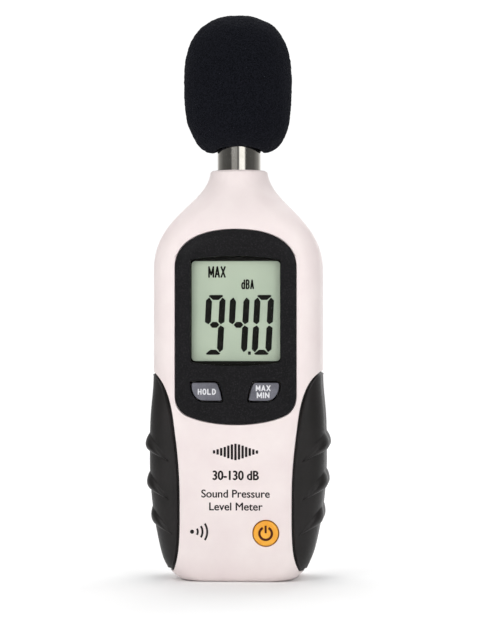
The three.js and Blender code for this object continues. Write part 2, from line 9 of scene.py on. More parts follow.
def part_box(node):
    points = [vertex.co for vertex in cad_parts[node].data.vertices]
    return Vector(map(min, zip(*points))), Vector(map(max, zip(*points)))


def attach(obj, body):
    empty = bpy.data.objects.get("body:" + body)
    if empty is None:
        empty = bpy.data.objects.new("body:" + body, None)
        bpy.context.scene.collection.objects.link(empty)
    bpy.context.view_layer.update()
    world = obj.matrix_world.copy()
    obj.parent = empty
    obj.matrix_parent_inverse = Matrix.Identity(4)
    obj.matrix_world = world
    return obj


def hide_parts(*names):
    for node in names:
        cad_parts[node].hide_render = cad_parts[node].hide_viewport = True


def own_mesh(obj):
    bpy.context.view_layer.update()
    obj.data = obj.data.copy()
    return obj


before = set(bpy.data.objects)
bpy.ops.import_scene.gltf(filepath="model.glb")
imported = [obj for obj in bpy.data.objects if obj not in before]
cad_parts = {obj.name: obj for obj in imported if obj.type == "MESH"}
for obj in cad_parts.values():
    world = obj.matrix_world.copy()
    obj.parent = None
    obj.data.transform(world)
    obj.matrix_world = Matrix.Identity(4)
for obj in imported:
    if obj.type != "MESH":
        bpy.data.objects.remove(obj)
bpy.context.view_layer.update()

# Everything below is worked out in millimetres and turned into metres when a mesh is made.
MM = 0.001
SAME_POINT = 1e-7  # metres
AXIS_RADIUS = 0.05  # a turned profile that starts nearer to its axis than this is solid
BODY = "meter_body"


def span(node):
    """The lowest and highest corners of a CAD node, in millimetres."""
    low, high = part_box(node)
    return np.array(low) / MM, np.array(high) / MM


def centre_of(node):
    low, high = span(node)
    return (low[0] + high[0]) / 2, (low[2] + high[2]) / 2


def radius_of(node):
    low, high = span(node)
    return (high[0] - low[0]) / 2


# ---- driving sizes, from the frame --------------------------------------------------------------

case_low, case_high = span("front_case")
CASE_TOP = case_high[2]
CASE_WIDTH = case_high[0]
CASE_FRONT = -case_low[1]
CASE_BACK = span("rear_case")[1][1]
NECK = 8.6
CORNER = 7.0
WALL = 2.2
BARREL_BORE = 6.85
BAY_HALF_WIDTH, BAY_FLOOR, BAY_LOW, BAY_HIGH = 13.8, -5.3, 11.2, 64.2
WELL_WALL = 1.2
KEY_GAP = 0.28
COVER_GAP = 0.2
AHEAD, BEHIND = -30, 40  # cutters end here, clear of the case
GRIP_SINK = 1.0
PARTING = 0.06
PRINT_DEPTH = 0.03


# ---- curves and outlines ------------------------------------------------------------------------

def bezier(start, control_1, control_2, end, count):
    """Points of a cubic curve, without the first one."""
    t = np.linspace(0, 1, count + 1)[1:, None]
    p = [np.array(point, float) for point in (start, control_1, control_2, end)]
    return (1 - t) ** 3 * p[0] + 3 * t * (1 - t) ** 2 * p[1] + 3 * t * t * (1 - t) * p[2] + t ** 3 * p[3]


def trace(start, *segments, count=16):
    """An outline through segments: one point is a straight line, three are a cubic curve."""
    points = [np.array([start], float)]
    for segment in segments:
        last = points[-1][-1]
        if len(segment) == 3:
            points.append(bezier(last, *segment, count))
        else:
            points.append(np.array(segment, float))
    return np.concatenate(points)


def smoothstep(value, low, high):
    t = np.clip((value - low) / (high - low), 0, 1)
    return t * t * (3 - 2 * t)


def resample(loop, spacing):
    """A closed outline as evenly spaced points."""
    closed = np.vstack([loop, loop[:1]])
    steps = np.linalg.norm(np.diff(closed, axis=0), axis=1)
    keep = np.concatenate([[True], steps > 1e-6])
    closed = closed[keep]
    along = np.concatenate([[0], np.cumsum(np.linalg.norm(np.diff(closed, axis=0), axis=1))])
    count = max(12, int(round(along[-1] / spacing)))
    at = np.linspace(0, along[-1], count, endpoint=False)
    return np.column_stack([np.interp(at, along, closed[:, k]) for k in range(2)])


def soften(loop, spacing, passes):
    """Rounds the corners of a closed outline."""
    loop = resample(loop, spacing)
    for _ in range(passes):
        loop = (np.roll(loop, 1, 0) + 2 * loop + np.roll(loop, -1, 0)) / 4
    return loop


def counter_clockwise(loop):
    x, z = loop[:, 0], loop[:, 1]
    area = np.sum(x * np.roll(z, -1) - np.roll(x, -1) * z)
    return loop if area > 0 else loop[::-1]


def offset(loop, distance):
    """A counter-clockwise outline moved inwards by a distance."""
    along = np.roll(loop, -1, 0) - np.roll(loop, 1, 0)
    along /= np.linalg.norm(along, axis=1)[:, None]
    inward = np.column_stack([-along[:, 1], along[:, 0]])
    return loop + inward * distance


def mirror(loop):
    return counter_clockwise(loop * [-1, 1])


def rounded_rectangle(x_low, x_high, z_low, z_high, radius, steps=8):
    points = []
    corners = [(x_high - radius, z_low + radius, -90), (x_high - radius, z_high - radius, 0),
               (x_low + radius, z_high - radius, 90), (x_low + radius, z_low + radius, 180)]
    for x, z, first in corners:
        for angle in np.radians(np.linspace(first, first + 90, steps + 1)):
            points.append((x + radius * math.cos(angle), z + radius * math.sin(angle)))
    return np.array(points)


def circle(x, z, radius, steps=64):
    angle = np.linspace(0, 2 * math.pi, steps, endpoint=False)
    return np.column_stack([x + radius * np.cos(angle), z + radius * np.sin(angle)])


def level(loop, z):
    """An outline of (x, y) points at a height."""
    return np.column_stack([loop, np.full(len(loop), z)])


def upright(loop, y):
    """An outline of (x, z) points at a depth."""
    return np.column_stack([loop[:, 0], np.full(len(loop), y), loop[:, 1]])


# ---- meshes -------------------------------------------------------------------------------------

def add_object(name, data):
    obj = bpy.data.objects.new(name, data)
    bpy.context.scene.collection.objects.link(obj)
    return obj


def bmesh_object(name, bm):
    mesh = bpy.data.meshes.new(name)
    bm.to_mesh(mesh)
    bm.free()
    return add_object(name, mesh)


def mesh_object(name, vertices, faces):
    mesh = bpy.data.meshes.new(name)
    mesh.from_pydata((np.array(vertices, float) * MM).tolist(), [], faces)
    obj = add_object(name, mesh)
    face_outwards(obj)
    return obj


def face_outwards(obj):
    bm = bmesh.new()
    bm.from_mesh(obj.data)
    bmesh.ops.remove_doubles(bm, verts=bm.verts, dist=SAME_POINT)
    bmesh.ops.recalc_face_normals(bm, faces=bm.faces)
    bm.to_mesh(obj.data)
    bm.free()


def shade(obj, sharp_angle=35):
    obj.data.shade_smooth()
    obj.data.set_sharp_from_angle(angle=math.radians(sharp_angle))
    return obj


def ringed(name, rings, closed_ends=True):
    """A skin over a list of rings with the same number of points."""
    count = len(rings[0])
    vertices = np.concatenate([np.array(ring, float) for ring in rings])
    faces = []
    for ring in range(len(rings) - 1):
        for k in range(count):
            a, b = ring * count + k, ring * count + (k + 1) % count
            faces.append((a, b, b + count, a + count))
    if closed_ends:
        faces.append(tuple(range(count))[::-1])
        faces.append(tuple(range(len(vertices) - count, len(vertices))))
    return mesh_object(name, vertices, faces)


def lathe(name, profile, sides):
    """A closed or axis-to-axis profile of (radius, z) points turned about the Z axis."""
    rings = [level(circle(0, 0, radius, sides), z) for radius, z in profile]
    return ringed(name, rings, closed_ends=profile[0][0] < AXIS_RADIUS)


def turned_on_y(name, profile, x, z, sides=64):
    """A profile of (radius, y) points turned about an axis along Y."""
    rings = [upright(circle(x, z, radius, sides), y) for radius, y in profile]
    return ringed(name, rings, closed_ends=profile[0][0] < AXIS_RADIUS)


def plate(name, outer, front, back, radius, holes=(), hole_radius=None, back_radius=0.1, steps=5,
          crown=0.0, crown_width=1.0):
    """A slab in the XZ plane with rounded rims, and holes through it. front is the lower y. The
    outer rim can also fall away over a wider band."""
    bm = bmesh.new()
    caps = {"front": [], "back": []}
    loops = [(counter_clockwise(outer), 1, radius)]
    loops += [(counter_clockwise(hole), -1, radius if hole_radius is None else hole_radius) for hole in holes]
    for loop, side, rim in loops:
        turn = np.linspace(0, math.pi / 2, steps + 1)
        fall = crown if side > 0 else 0.0
        stations = []
        if fall:
            for share in np.linspace(1, 0, 7)[:-1]:
                stations.append((rim + crown_width * share, front + fall * (1 - share) ** 2))
        stations += [(rim * (1 - math.sin(a)), front + fall + rim * (1 - math.cos(a))) for a in turn]
        stations += [(back_radius * (1 - math.cos(a)), back - back_radius * (1 - math.sin(a))) for a in turn]
        rings = []
        for inset, y in stations:
            points = offset(loop, side * inset)
            rings.append([bm.verts.new((px * MM, y * MM, pz * MM)) for px, pz in points])
        for low, high in zip(rings, rings[1:]):
            for k in range(len(low)):
                m = (k + 1) % len(low)
                bm.faces.new((low[k], low[m], high[m], high[k]))
        for cap, ring in (("front", rings[0]), ("back", rings[-1])):
            caps[cap] += [bm.edges.get((ring[k], ring[(k + 1) % len(ring)])) for k in range(len(ring))]
    for edges in caps.values():
        bmesh.ops.triangle_fill(bm, use_beauty=True, use_dissolve=False, edges=edges)
    bmesh.ops.recalc_face_normals(bm, faces=bm.faces)
    return shade(bmesh_object(name, bm))


def crowned(name, loop, front, back, radius, crown, rings=10):
    """A key cap: straight sides, a rounded rim and a gently domed top that rises by crown."""
    loop = counter_clockwise(loop)
    centre = loop.mean(0)
    stack = [(0.0, back), (0.0, front + crown + radius)]
    for a in np.linspace(0, math.pi / 2, 6)[1:]:
        stack.append((radius * (1 - math.cos(a)), front + crown + radius * (1 - math.sin(a))))
    skins = [upright(offset(loop, distance), y) for distance, y in stack]
    rim = offset(loop, radius)
    for share in np.linspace(1, 0.04, rings)[1:]:
        skins.append(upright(centre + (rim - centre) * share, front + crown * share ** 2))
    return shade(ringed(name, skins), 50)


def applied(obj):
    """Bakes an object's modifiers into its mesh."""
    graph = bpy.context.evaluated_depsgraph_get()
    mesh = bpy.data.meshes.new_from_object(obj.evaluated_get(graph))
    obj.modifiers.clear()
    obj.data = mesh
    return obj


def carve(obj, cutter, operation="DIFFERENCE"):
    modifier = obj.modifiers.new("cut", "BOOLEAN")
    modifier.operation = operation
    modifier.solver = "EXACT"
    modifier.object = cutter
    bpy.context.view_layer.update()
    applied(obj)
    bpy.data.objects.remove(cutter)
    return obj


def tidy_planes(obj):
    """Merges the small faces of flat areas."""
    bm = bmesh.new()
    bm.from_mesh(obj.data)
    bmesh.ops.remove_doubles(bm, verts=bm.verts, dist=20 * SAME_POINT)
    bmesh.ops.dissolve_limit(bm, angle_limit=math.radians(0.2), verts=bm.verts, edges=bm.edges)
    bm.to_mesh(obj.data)
    bm.free()


def round_rims(obj, width, segments=2, angle=42):
    """Rounds each edge that is sharper than an angle."""
    modifier = obj.modifiers.new("rim", "BEVEL")
    modifier.width = width * MM
    modifier.segments = segments
    modifier.limit_method = "ANGLE"
    modifier.angle_limit = math.radians(angle)
    modifier.use_clamp_overlap = False
    bpy.context.view_layer.update()
    return applied(obj)


def even_shading(obj):
    """Keeps large flat faces flat beside their small rounded rims."""
    modifier = obj.modifiers.new("even", "WEIGHTED_NORMAL")
    modifier.keep_sharp = True
    modifier.weight = 100


def face_back(obj, back):
    """Turns a plate that was made from y = 0 round, so that its front lies at back and faces +Y."""
    for vertex in obj.data.vertices:
        vertex.co.y = back * MM - vertex.co.y
    face_outwards(obj)


def block(name, x_low, x_high, y_low, y_high, z_low, z_high):
    loop = np.array([(x_low, z_low), (x_high, z_low), (x_high, z_high), (x_low, z_high)], float)
    return prism(name, loop, y_low, y_high)


def prism(name, loop, y_low, y_high):
    return ringed(name, [upright(loop, y_low), upright(loop, y_high)])


def joined(name, objects):
    """Several objects as one mesh."""
    bm = bmesh.new()
    for obj in objects:
        bm.from_mesh(obj.data)
        bpy.data.objects.remove(obj)
    return bmesh_object(name, bm)


def lettering(name, text, size, x, z, y, width_scale):
    """Raised print, centred at (x, z), on a face that looks to -Y."""
    curve = bpy.data.curves.new(name, "FONT")
    curve.body = text
    curve.size = size
    curve.align_x = "CENTER"
    curve.align_y = "CENTER"
    curve.extrude = PRINT_DEPTH / 2
    curve.resolution_u = 6
    source = add_object(name + "_curve", curve)
    bpy.context.view_layer.update()
    mesh = bpy.data.meshes.new_from_object(source.evaluated_get(bpy.context.evaluated_depsgraph_get()))
    bpy.data.objects.remove(source)
    for vertex in mesh.vertices:
        across, up, lift = vertex.co
        vertex.co = ((x + across * width_scale) * MM, (y - lift) * MM, (z + up) * MM)
    obj = add_object(name, mesh)
    face_outwards(obj)
    return shade(obj)


def print_shapes(name, loops, y, depth=PRINT_DEPTH):
    """Flat raised shapes on a face that looks to -Y. Shapes that cross each other differ a hair in
    height, so that no two of their faces coincide."""
    pieces = []
    for i, loop in enumerate(loops):
        top = y - depth / 2 - 0.002 * (i % 17)
        pieces.append(prism(f"{name}_{i}", counter_clockwise(loop), top, y + depth / 2))
    return shade(joined(name, pieces))


# ---- materials ----------------------------------------------------------------------------------

def linear(hex_colour):
    values = [int(hex_colour[i:i + 2], 16) / 255 for i in (1, 3, 5)]
    return tuple(v / 12.92 if v <= 0.04045 else ((v + 0.055) / 1.055) ** 2.4 for v in values) + (1.0,)


MIX_A, MIX_B, MIX_RESULT = 6, 7, 2  # the colour sockets of a Mix node


class Finish:
    """A node material whose textures are measured in millimetres on the object."""

    def __init__(self, name, colour, roughness, metallic=0.0, **sockets):
        self.material = bpy.data.materials.new(name)
        self.material.use_nodes = True
        self.tree = self.material.node_tree
        self.shader = self.tree.nodes["Principled BSDF"]
        self.shader.inputs["Base Color"].default_value = linear(colour)
        self.shader.inputs["Roughness"].default_value = roughness
        self.shader.inputs["Metallic"].default_value = metallic
        for socket, value in sockets.items():
            self.shader.inputs[socket.replace("_", " ")].default_value = value
        place = self.node("ShaderNodeTexCoord")
        self.mapping = self.node("ShaderNodeMapping")
        self.mapping.inputs["Scale"].default_value = (1 / MM,) * 3
        self.link(place.outputs["Object"], self.mapping.inputs["Vector"])

    def node(self, kind, **settings):
        node = self.tree.nodes.new(kind)
        for key, value in settings.items():
            setattr(node, key, value)
        return node

    def link(self, source, target):
        self.tree.links.new(source, target)

    def stretched(self, scale):
        mapping = self.node("ShaderNodeMapping")
        mapping.inputs["Scale"].default_value = scale
        self.link(self.mapping.outputs["Vector"], mapping.inputs["Vector"])
        return mapping.outputs["Vector"]

    def noise(self, scale, detail=3.0, roughness=0.55, stretch=None):
        node = self.node("ShaderNodeTexNoise")
        node.inputs["Scale"].default_value = scale
        node.inputs["Detail"].default_value = detail
        node.inputs["Roughness"].default_value = roughness
        source = self.stretched(stretch) if stretch else self.mapping.outputs["Vector"]
        self.link(source, node.inputs["Vector"])
        return node.outputs["Fac"]

    def cells(self, scale, feature="F1"):
        node = self.node("ShaderNodeTexVoronoi", feature=feature)
        node.inputs["Scale"].default_value = scale
        self.link(self.mapping.outputs["Vector"], node.inputs["Vector"])
        return node.outputs["Distance"]

    def ramp(self, value, low, high, first, second):
        node = self.node("ShaderNodeMapRange")
        node.inputs["From Min"].default_value = low
        node.inputs["From Max"].default_value = high
        node.inputs["To Min"].default_value = first
        node.inputs["To Max"].default_value = second
        self.link(value, node.inputs["Value"])
        return node.outputs["Result"]

    def tint(self, value, low, high, first, second):
        """Base colour between two colours as a texture goes from low to high."""
        node = self.node("ShaderNodeValToRGB")
        node.color_ramp.elements[0].position = low
        node.color_ramp.elements[1].position = high
        node.color_ramp.elements[0].color = linear(first)
        node.color_ramp.elements[1].color = linear(second)
        self.link(value, node.inputs["Fac"])
        self.link(node.outputs["Color"], self.shader.inputs["Base Color"])

    def speckle(self, value, low, high, colour):
        """Lays specks of a second colour over the base colour."""
        mask = self.ramp(value, low, high, 0.0, 1.0)
        mix = self.node("ShaderNodeMix", data_type="RGBA")
        self.link(mask, mix.inputs["Factor"])
        self.link(self.shader.inputs["Base Color"].links[0].from_socket, mix.inputs[MIX_A])
        mix.inputs[MIX_B].default_value = linear(colour)
        self.link(mix.outputs[MIX_RESULT], self.shader.inputs["Base Color"])

    def gloss(self, value, low, high, first, second):
        self.link(self.ramp(value, low, high, first, second), self.shader.inputs["Roughness"])

    def bump(self, value, strength, distance):
        node = self.node("ShaderNodeBump")
        node.inputs["Strength"].default_value = strength
        node.inputs["Distance"].default_value = distance * MM
        self.link(value, node.inputs["Height"])
        previous = self.shader.inputs["Normal"].links
        if previous:
            self.link(previous[0].from_socket, node.inputs["Normal"])
        self.link(node.outputs["Normal"], self.shader.inputs["Normal"])


def textured(name, colour, roughness, tint, gloss=None, bump=None, metallic=0.0, **sockets):
    """A finish from noise: tint is a noise's settings and two colours, gloss the same with two
    roughnesses, bump the same with a strength and a depth."""
    finish = Finish(name, colour, roughness, metallic, **sockets)
    settings, dark, light = tint
    finish.tint(finish.noise(*settings), 0.3, 0.7, dark, light)
    if gloss:
        finish.gloss(finish.noise(*gloss[0]), 0.3, 0.7, *gloss[1:])
    if bump:
        finish.bump(finish.noise(*bump[0]), *bump[1:])
    return finish


def moulded(name, light, dark, roughness, grain, depth, **sockets):
    """Moulded plastic: faint flow mottling, fine spark-eroded grain, roughness that varies a little."""
    finish = Finish(name, light, roughness, **sockets)
    finish.tint(finish.noise(0.08, 4.0), 0.35, 0.68, dark, light)
    finish.gloss(finish.noise(0.5, 2.0), 0.3, 0.7, roughness - 0.05, roughness + 0.06)
    finish.bump(finish.noise(grain, 2.0), 0.35, depth)
    return finish


def make_finishes():
    made = {
        "ivory": moulded("ivory_plastic", "#F4E9E7", "#EEE1E0", 0.48, 4.5, 0.03, Specular_IOR_Level=0.32),
        "rubber": moulded("grip_rubber", "#1D1A1A", "#151312", 0.55, 3.2, 0.05, Specular_IOR_Level=0.3),
        "silicone": moulded("silicone_rubber", "#CDC8C1", "#BDB8B0", 0.6, 2.0, 0.03),
        "black": moulded("black_plastic", "#1B1B1F", "#121215", 0.5, 2.5, 0.04),
        "white": moulded("holder_plastic", "#E9E7E1", "#DAD8D2", 0.5, 2.5, 0.03),
        "pink": moulded("contact_rubber", "#D9A9A9", "#C28F8F", 0.65, 2.0, 0.04),
        "charcoal": textured("bezel_plastic", "#141316", 0.45, ((0.12, 3.0), "#09090B", "#100F12"),
                             ((1.3, 3.0), 0.32, 0.54), ((2.0, 4.0, 0.8), 0.8, 0.1), Specular_IOR_Level=0.14),
        "key": textured("key_plastic", "#6A6A76", 0.48, ((0.3, 2.0), "#5A5A63", "#6E6E77"), None,
                        ((3.4, 3.0, 0.7), 0.4, 0.03), Specular_IOR_Level=0.35),
        "orange": textured("power_key_plastic", "#F9B030", 0.38, ((0.25, 3.0), "#F5A322", "#FFBC40"),
                           ((1.2, 2.0), 0.32, 0.46), ((4.0, 2.0), 0.3, 0.02)),
        "nickel": textured("nickel_plate", "#D6D2CA", 0.12, ((0.4, 3.0), "#D0CCC3", "#D9D6CF"),
                           ((6.0, 3.0, 0.6, (0.25, 0.25, 4.0)), 0.04, 0.09),
                           ((8.0, 2.0, 0.6, (0.1, 0.1, 5.0)), 0.03, 0.01), 1.0),
        "steel": textured("screw_steel", "#B9BCC0", 0.3, ((1.0, 3.0), "#9DA0A5", "#C9CCD0"),
                          ((5.0, 4.0), 0.2, 0.42), ((6.0, 3.0), 0.3, 0.02), 1.0),
        "brass": textured("turned_brass", "#B8934A", 0.3, ((0.8, 4.0), "#9C7A38", "#CBA75D"),
                          ((5.0, 3.0, 0.6, (1, 4.0, 1)), 0.22, 0.42),
                          ((5.0, 2.0, 0.6, (1, 5.0, 1)), 0.3, 0.03), 1.0),
        "jacket": textured("battery_jacket", "#2B3340", 0.35, ((0.2, 3.0), "#262D38", "#343E4D"),
                           ((1.2, 3.0), 0.28, 0.42), ((2.0, 3.0), 0.2, 0.03), 0.3),
        "label": textured("label_film", "#D9DBDC", 0.35,
                          ((3.0, 3.0, 0.6, (0.2, 1, 4.0)), "#CDD0D2", "#E2E4E5"),
                          ((2.0, 3.0, 0.6, (0.2, 1, 5.0)), 0.28, 0.42), ((4.0, 2.0), 0.15, 0.01), 0.25),
        "paper": textured("floor_paper", "#F7F7F7", 0.95, ((0.01, 2.0), "#F7F7F7", "#FFFFFF"),
                          Specular_IOR_Level=0.1),
    }
    made["rubber"].gloss(made["rubber"].noise(1.4, 4.0), 0.3, 0.7, 0.38, 0.54)
    made["charcoal"].speckle(made["charcoal"].noise(2.0, 4.0, 0.75), 0.5, 0.85, "#343235")
    made["key"].speckle(made["key"].noise(3.4, 3.0, 0.7), 0.55, 0.8, "#8A8A92")

    for name, dark, light in (("ink_black", "#0D0D09", "#15140F"), ("ink_text", "#1C1819", "#282324"),
                              ("ink_white", "#D6D6DA", "#E8E8EB"), ("ink_brown", "#4A1F12", "#5C2A18")):
        made[name] = textured(name, dark, 0.55, ((1.5, 3.0), dark, light), None, ((6.0, 2.0), 0.2, 0.01),
                              Specular_IOR_Level=0.15)
    for name, dark, light in (("blue_sleeve", "#222A44", "#303A5C"), ("trimmer_blue", "#2763A0", "#3A7CC0"),
                              ("wire_red", "#9E1A17", "#C02A25"), ("wire_black", "#0F0F10", "#1C1C1E"),
                              ("wire_white", "#CFCBC0", "#E2DED4")):
        made[name] = moulded(name, light, dark, 0.42, 2.5, 0.02)

    foam = Finish("windscreen_foam", "#101117", 0.96, Specular_IOR_Level=0.06, Sheen_Weight=0.03,
                  Sheen_Roughness=0.5)
    foam.shader.inputs["Sheen Tint"].default_value = linear("#8A90A8")
    pores_and_pore_shade = foam.cells(2.1)
    # The pore centres are painted darker than the struts between them: painted shade inside the pores.
    foam.tint(pores_and_pore_shade, 0.05, 0.62, "#050609", "#16171D")
    foam.speckle(foam.noise(0.5, 5.0, 0.7), 0.62, 0.9, "#1E1F27")
    foam.bump(pores_and_pore_shade, 0.9, 0.35)
    foam.bump(foam.noise(5.0, 3.0, 0.7), 0.6, 0.12)
    made["foam"] = foam

    lcd = Finish("lcd_glass", "#BFCFB9", 0.28, Specular_IOR_Level=0.25)
    lcd.tint(lcd.noise(0.05, 2.0), 0.35, 0.65, "#C0D0BA", "#CCDAC4")
    lcd.speckle(lcd.noise(5.0, 2.0), 0.55, 0.95, "#CAD6C2")
    lcd.bump(lcd.noise(6.0, 2.0), 0.15, 0.01)
    made["lcd"] = lcd

    board = Finish("circuit_board", "#1F5A38", 0.35)
    board.tint(board.noise(0.6, 4.0), 0.4, 0.6, "#1A4F31", "#256644")
    tracks = board.cells(0.45, "DISTANCE_TO_EDGE")
    board.speckle(tracks, 0.10, 0.04, "#3A7F57")
    board.bump(tracks, 0.3, 0.03)
    made["board"] = board

    window = Finish("clear_window", "#101312", 0.06, Alpha=0.05, Specular_IOR_Level=0.5)
    window.gloss(window.noise(0.6, 2.0), 0.3, 0.7, 0.03, 0.09)
    window.bump(window.noise(0.3, 2.0), 0.05, 0.02)
    made["window"] = window
    return {name: finish.material for name, finish in made.items()}


FINISH = make_finishes()


def dress(obj, finish, body=BODY, replaces=()):
    """Gives a finished piece its material, its body and the nodes it stands for."""
    obj.data.materials.clear()
    obj.data.materials.append(FINISH[finish])
    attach(obj, body)
    if replaces:
        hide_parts(*replaces)


# ---- the case's form ----------------------------------------------------------------------------

WIDTH_PATH = trace(
    (15.0, 0),
    ((17.6, 0.05), (20.8, 3.0), (22.2, 7.5)),
    ((23.3, 11), (CASE_WIDTH, 19), (CASE_WIDTH, 28)),
    ((CASE_WIDTH, 93),),
    ((CASE_WIDTH, 109), (NECK + 0.4, 112.9), (NECK, CASE_TOP)),
    count=40,
)


def depth_path(depth, flat_end):
    return trace(
        (depth - 3.5, 0),
        ((depth - 1.1, 0.3), (depth, 3.5), (depth, 8.5)),
        ((depth, flat_end),),
        ((depth, 112), (NECK, 114), (NECK, CASE_TOP)),
        count=40,
    )


FRONT_PATH = depth_path(CASE_FRONT, 103)
BACK_PATH = depth_path(CASE_BACK, 97)


def along(path, z):
    return float(np.interp(z, path[:, 1], path[:, 0]))


def corner_at(z):
    return CORNER + (NECK - 0.3 - CORNER) * float(smoothstep(z, 96, CASE_TOP))


def section(z, inset=0.0, steps=14):
    """The case's cross-section at a height, counter-clockwise from the right-hand side."""
    width = along(WIDTH_PATH, z) - inset
    front = along(FRONT_PATH, z) - inset
    back = along(BACK_PATH, z) - inset
    corner = corner_at(z) - inset
    points = []
    for quarter, (side_x, side_y) in enumerate([(1, 1), (-1, 1), (-1, -1), (1, -1)]):
        centre_x = side_x * (width - corner)
        centre_y = back - corner if side_y > 0 else corner - front
        for step in range(steps + 1):
            angle = (quarter + step / steps) * math.pi / 2
            points.append((centre_x + corner * math.cos(angle), centre_y + corner * math.sin(angle), z))
    return np.array(points)


def case_solid(name, inset, heights, lip=0.0):
    """The case's form as a solid. lip rounds the rim around the neck's top."""
    rings = [section(z, inset) for z in heights]
    if lip:
        for a in np.linspace(0, math.pi / 2, 6)[1:]:
            ring = section(CASE_TOP - lip, inset)
            rim = 1 - lip * (1 - math.cos(a)) / NECK
            ring[:, :2] *= rim
            ring[:, 2] = CASE_TOP - lip + lip * math.sin(a)
            rings.append(ring)
    return ringed(name, rings)


FOOT = [0, 0.12, 0.35, 0.7, 1.2, 1.8, 2.6, 3.6, 5, 6.6, 8.5, 11, 14, 18, 23]
STRAIGHT = list(np.arange(28, 93, 2.6))
SHOULDER = list(np.linspace(93.5, CASE_TOP - 1.0, 34))


# ---- rubber grips -------------------------------------------------------------------------------

grip_low, grip_high = span("right_grip_front")
GRIP_LOW, GRIP_HIGH = grip_low[2], grip_high[2]
GRIP_EDGE = trace(
    (18.8, GRIP_LOW),
    ((16.5, 8), (16.7, 14), (16.7, 24)),
    ((16.7, 33), (17.4, 39), (18.4, 46.5)),
    ((19.1, 52.5), (20.6, 59.6), (CASE_WIDTH, GRIP_HIGH)),
    count=40,
)
RIBS = [(41.6, 1.25), (30.1, 1.1), (19.7, 0.9)]


def grip_path(z, depth, samples, margin=0.0):
    """From the grip's inner edge on the face, round the corner, to the parting plane: points with
    their outward directions, the distance walked, the case's half width and the whole length."""
    width = along(WIDTH_PATH, z)
    corner = corner_at(z)
    inner = min(float(np.interp(z, GRIP_EDGE[:, 1], GRIP_EDGE[:, 0])), width - 0.001) - margin
    flat = max(width - corner - inner, 0.0)
    first = math.acos(min(1.0, max(0.0, (inner - (width - corner)) / corner))) if flat == 0 else math.pi / 2
    arc = corner * first
    side = depth - corner - PARTING
    total = flat + arc + side
    rows = []
    for walked in np.linspace(0, total, samples):
        if walked < flat:
            rows.append((inner + walked, depth, 0.0, 1.0, walked))
        elif walked < flat + arc:
            angle = first - (walked - flat) / corner
            rows.append((width - corner + corner * math.cos(angle), depth - corner + corner * math.sin(angle),
                         math.cos(angle), math.sin(angle), walked))
        else:
            rows.append((width, depth - corner - (walked - flat - arc), 1.0, 0.0, walked))
    rows = np.array(rows)
    return rows[:, 0], rows[:, 1], rows[:, 2], rows[:, 3], rows[:, 4], width, total


def grip_height(z, x, walked, outward_x, width, total):
    """How far the rubber stands out of the case: a narrow sunken band along the edge, a lip, the
    pad, a swell on the side, and three tongue-shaped ribs that sweep in and down to a point."""
    edge = np.minimum(walked, (GRIP_HIGH - z) * 0.9)
    edge = np.minimum(edge, (z - GRIP_LOW) * 1.2)
    fuller = (0.4 + 0.6 * float(smoothstep(z, 12, 25))) * (1 - 0.8 * float(smoothstep(z, 49, 62)))
    pad = -0.45 + (0.45 + 0.55 * fuller) * smoothstep(edge, 0.42, 0.68)
    lip = 0.14 * np.exp(-((edge - 0.8) / 0.16) ** 2)
    sideways = smoothstep(outward_x, 0.15, 0.95)
    swell = 0.7 * float(smoothstep(z, 20, 36)) * (1 - float(smoothstep(z, 42, 60))) * sideways
    inwards = np.clip(width - x, 0, None)
    ribs = np.zeros_like(x)
    for rib, reach in RIBS:
        upper = rib + 2.6 - 1.6 * inwards
        lower = rib - 2.6 - 0.57 * inwards
        across = np.clip((z - lower) / np.maximum(upper - lower, 0.05), 0, 1)
        crest = np.sin(math.pi * across ** 0.7) ** 0.8
        strength = reach * (1 - 0.45 * smoothstep(inwards, 0.5, 4.0))
        ribs = np.maximum(ribs, strength * crest * (upper > lower))
    seam = 1 - 0.5 * np.exp(-((total - walked) / 0.25) ** 2)
    return pad + (lip + (swell + ribs) * smoothstep(edge, 0.8, 2.0)) * seam


def grip_shell(name, side, rear, bottom, outside=None, margin=0.0, samples=90, levels=260):
    """A closed piece of the grip's form between a depth below the case's surface and either its
    own relief or a fixed height above the surface."""
    depth_of = BACK_PATH if rear else FRONT_PATH
    sign = 1 if rear else -1
    heights = GRIP_LOW - margin + (GRIP_HIGH - GRIP_LOW + 2 * margin) * np.linspace(0, 1, levels)
    outer, inner = [], []
    for z in heights:
        sample_z = min(max(z, GRIP_LOW), GRIP_HIGH)
        depth = along(depth_of, z)
        x, y, nx, ny, walked, width, total = grip_path(sample_z, depth, samples, margin)
        rise = np.full(samples, outside) if outside is not None else grip_height(
            z, x, walked, nx, width, total)
        for target, lift in ((outer, rise), (inner, np.full(samples, -bottom))):
            target.append(np.column_stack([side * (x + nx * lift), sign * (y + ny * lift),
                                           np.full(samples, z)]))
    grid = np.array(outer + inner)
    count = levels * samples
    vertices = grid.reshape(-1, 3)
    faces = []
    for half in (0, count):
        for i in range(levels - 1):
            for k in range(samples - 1):
                a = half + i * samples + k
                faces.append((a, a + 1, a + samples + 1, a + samples))
    ring = [i * samples for i in range(levels)] + [(levels - 1) * samples + k for k in range(1, samples)]
    ring += [i * samples + samples - 1 for i in range(levels - 2, -1, -1)] + list(range(samples - 2, 0, -1))
    for a, b in zip(ring, ring[1:] + ring[:1]):
        faces.append((a, b, b + count, a + count))
    return mesh_object(name, vertices, faces)


def make_grips():
    for rear, half in ((False, "front"), (True, "rear")):
        for side, hand in ((1, "right"), (-1, "left")):
            grip = grip_shell(f"{hand}_{half}_rubber_grip", side, rear, GRIP_SINK - 0.1)
            if rear:
                x, z = centre_of("case_screw_4")
                carve(grip, prism("hole", circle(side * x, z, 2.7, 40), 0, 30))
            shade(grip, 40)
            dress(grip, "rubber", BODY, [f"{hand}_grip_{half}"])


# ---- bezel and window ---------------------------------------------------------------------------

